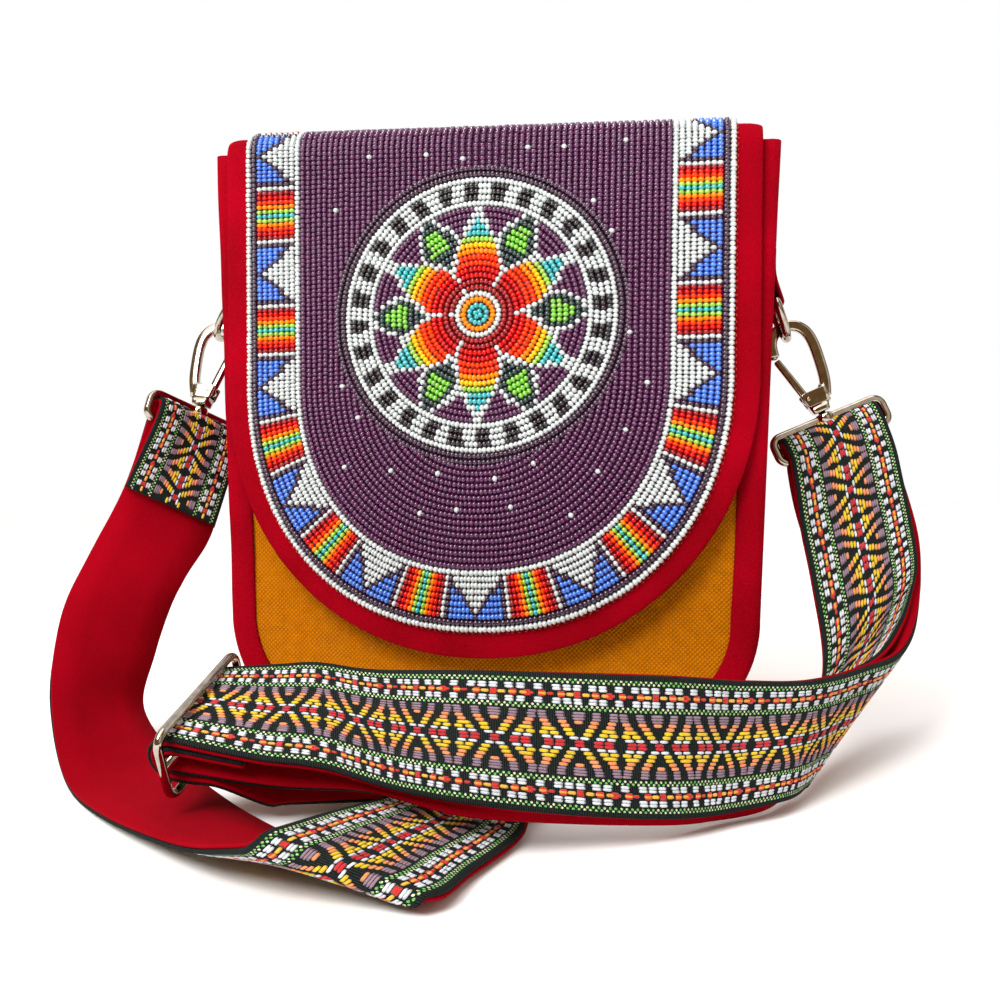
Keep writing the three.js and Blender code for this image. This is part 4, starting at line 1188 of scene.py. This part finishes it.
def hookShape(hook):
    bow = through(hookParts.bow, np.linspace(0, len(hookParts.bow) - 1, 60))
    path = onHook(hook, np.concatenate([bow, np.zeros((60, 1))], 1))
    out, half = hookParts.cheekOut, hookParts.cheekHalf
    return shells(
        wire(path, hook.q, metal.bowWire, False, metal.bowPower, metal.bowDepth),
        *(cast(hook, [(*row, side * out, half) for row in hookParts.cheek]) for side in (-1, 1)),
        cast(hook, hookParts.foot),
        cast(hook, hookParts.back),
        turned(hookParts.pin, onHook(hook, (*hookParts.pivot, 0)), hook.q),
        turned(hookParts.stem, hook.eye, hook.h),
        turned(hookParts.nose, path[-1], unit(path[-1] - path[-2])),
    )


def gateShape(hook):
    pivot, tip = np.array(hookParts.pivot), np.array(hookParts.tip)
    ahead = unit(tip - pivot)
    side = np.array([ahead[1], -ahead[0]])
    length = np.linalg.norm(tip - pivot)
    c, q = squircle(metal.sides, metal.bowPower)
    rows = [(1.5, 1.3), (3, 1.5), (8, 1.5), (length - 1, 1.35), (length - 0.2, 1.25), (length, 0.9)]
    sections = []
    for run, half in rows:
        flat = pivot + ahead * run + (c * half)[:, None] * side
        sections.append(onHook(hook, np.concatenate([flat, q[:, None] * hookParts.gateHalf], 1)))
    eye = turned(hookParts.gateEye, onHook(hook, (*pivot, 0)), hook.q, True)
    return shells(loft(np.array(sections)), eye)


# cloth tabs that hold the D-rings
tab = Settings(
    half=8.5, wall=1.4, bend=2.8, rise=10, backGap=(0.4, 0.9),
    outline=[(-1, 0), (-0.97, 0.8), (-0.9, 1), (0, 1), (0.9, 1), (0.97, 0.8), (1, 0), (0.97, -0.8), (0.9, -1),
                (0, -1), (-0.9, -1), (-0.97, -0.8)],
)


def tabFace(z):
    # middle of a tab's cloth where it lies on the pouch's side
    return float(halfWidth(np.array(z - pouch.lift))) + pouch.gap + tab.wall / 2


def dRingPlaces(hook, sign):
    # the D-ring's bow lies in the hook, its straight bar in the tab on the pouch's side
    bow = onHook(hook, (0, metal.crown - metal.hookWire - metal.wire - metal.dGap, 0))
    barZ = bow[2] + metal.dReach
    return bow, np.array([sign * (tabFace(barZ) + tab.bend), bow[1], barZ])


def dRingShape(hook, sign):
    bow, bar = dRingPlaces(hook, sign)
    down = np.array([bow[0] - bar[0], 0, bow[2] - bar[2]])
    reach = np.linalg.norm(down)
    down = down / reach
    along = np.array([0.0, 1, 0])
    half, corner = metal.dHalf, metal.dCorner
    straight = np.linspace(-1, 1, 10, endpoint=False)[1:, None] * (half - corner) * along
    a = np.linspace(0, np.pi, 40)[:, None]
    arc = half * np.cos(a) * along + (corner + (reach - corner) * np.sin(a)) * down
    return wire(bar + np.concatenate([straight, arc]), unit(np.cross(down, along)), metal.wire, True)


def tabShape(hook, sign):
    # strip down the side, round the bar and up again
    bar = dRingPlaces(hook, sign)[1]
    bend, face = tab.bend, tabFace(bar[2])
    top, middle, low = bar[2] + tab.rise * np.array([2, 1, 0])
    topGap, middleGap = (tab.wall + gap for gap in tab.backGap)
    a = np.pi + np.pi * np.arange(1, 8) / 8
    down = [(tabFace(z), z) for z in (top, middle, low)]
    turn = np.stack([face + bend * (1 + np.cos(a)), low + bend * np.sin(a)], 1)
    up = [(face + 2 * bend, low), (tabFace(middle) + middleGap, middle), (tabFace(top) + topGap, top)]
    line, inward = smoothLine(np.concatenate([down, turn, up]), 60)
    wide, thick = np.array(tab.outline).T
    flat = line[:, None] - inward[:, None] * (thick * tab.wall / 2)[None, :, None]
    y = np.broadcast_to(bar[1] + wide * tab.half, flat.shape[:2])
    return loft(np.stack([sign * flat[..., 0], y, flat[..., 1]], -1)), lengths(line)[-1]


slider = Settings(wire=1.35, bar=1.5, corner=4.0, endRoom=2.2)


def sliderShape(end):
    reach = strap.sliderBend + strap.bandHigh + 1 + metal.wire
    half = end.half + slider.endRoom + metal.wire
    path = roundedLoop(end.middle, end.across, end.normal, half, reach, slider.corner)
    bar = turned([(slider.bar, -half), (slider.bar, half)], end.middle, end.across)
    return shells(wire(path, end.outward, slider.wire, True), bar)


for end, sign in (("left", -1), ("right", 1)):
    hook = hookFrame(strapEnds[end], (sign, 0, 0))
    for name, shape, node, body in (
        ("strap_link", ringShape(strapEnds[end]), "strap_ring", "bag"),
        ("snap_hook", hookShape(hook), "hook", f"{end}_hook"),
        ("snap_gate", gateShape(hook), "gate", f"{end}_gate"),
        ("side_ring", dRingShape(hook, sign), "d_ring", "bag"),
    ):
        fit(f"{name}_{end}", shape, nickelMaterial, f"{node}_{end}", body)
    shape, run = tabShape(hook, sign)
    piece = fit(f"side_tab_{end}", shape, redLook, f"tab_{end}")
fit("strap_slider", sliderShape(strapEnds["slider"]), nickelMaterial, "slider")
print("hardware made")

# running stitch on the flap's margin, just outside the beads
stitch = Settings(
    margin=8.9, pitch=2.5, length=1.0, width=0.32, high=0.2, sunk=0.04, tail=5.0,
    stray=0.12, points=200,
)


def stitchShape():
    # round the beads, and across the tail where the flap is sewn to the back
    half, count = flap.halfLow, stitch.points
    share = stitch.margin / half
    margin = lane(half * (1 - share), mix(flap.bottom, flap.arc, share), beadEnd, count, count)
    across = np.linspace(-half + stitch.tail, half - stitch.tail, count)
    tail = np.stack([across, np.full(count, tailRun - stitch.tail)], 1)
    rows = []
    for line in (margin, tail):
        along = lengths(line)
        middle = np.arange(stitch.pitch, along[-1] - stitch.pitch, stitch.pitch)
        rows.append(placed(line, along, middle + stitch.stray * dice.standard_normal(len(middle))))
    centre, ahead, side, up = flapFrame(*np.concatenate(rows).T, flap.thick)
    size = stitch.width / 2, stitch.length / 2, stitch.high
    local = barShape * size - (0, 0, stitch.sunk)
    points = centre[:, None] + np.einsum("bk,nkc->nbc", local, np.stack([side, ahead, up], 1))
    return points, barFaces(len(centre))


fit("flap_stitches", stitchShape(), goldThread, "flap", weld=False)
print("stitches made")
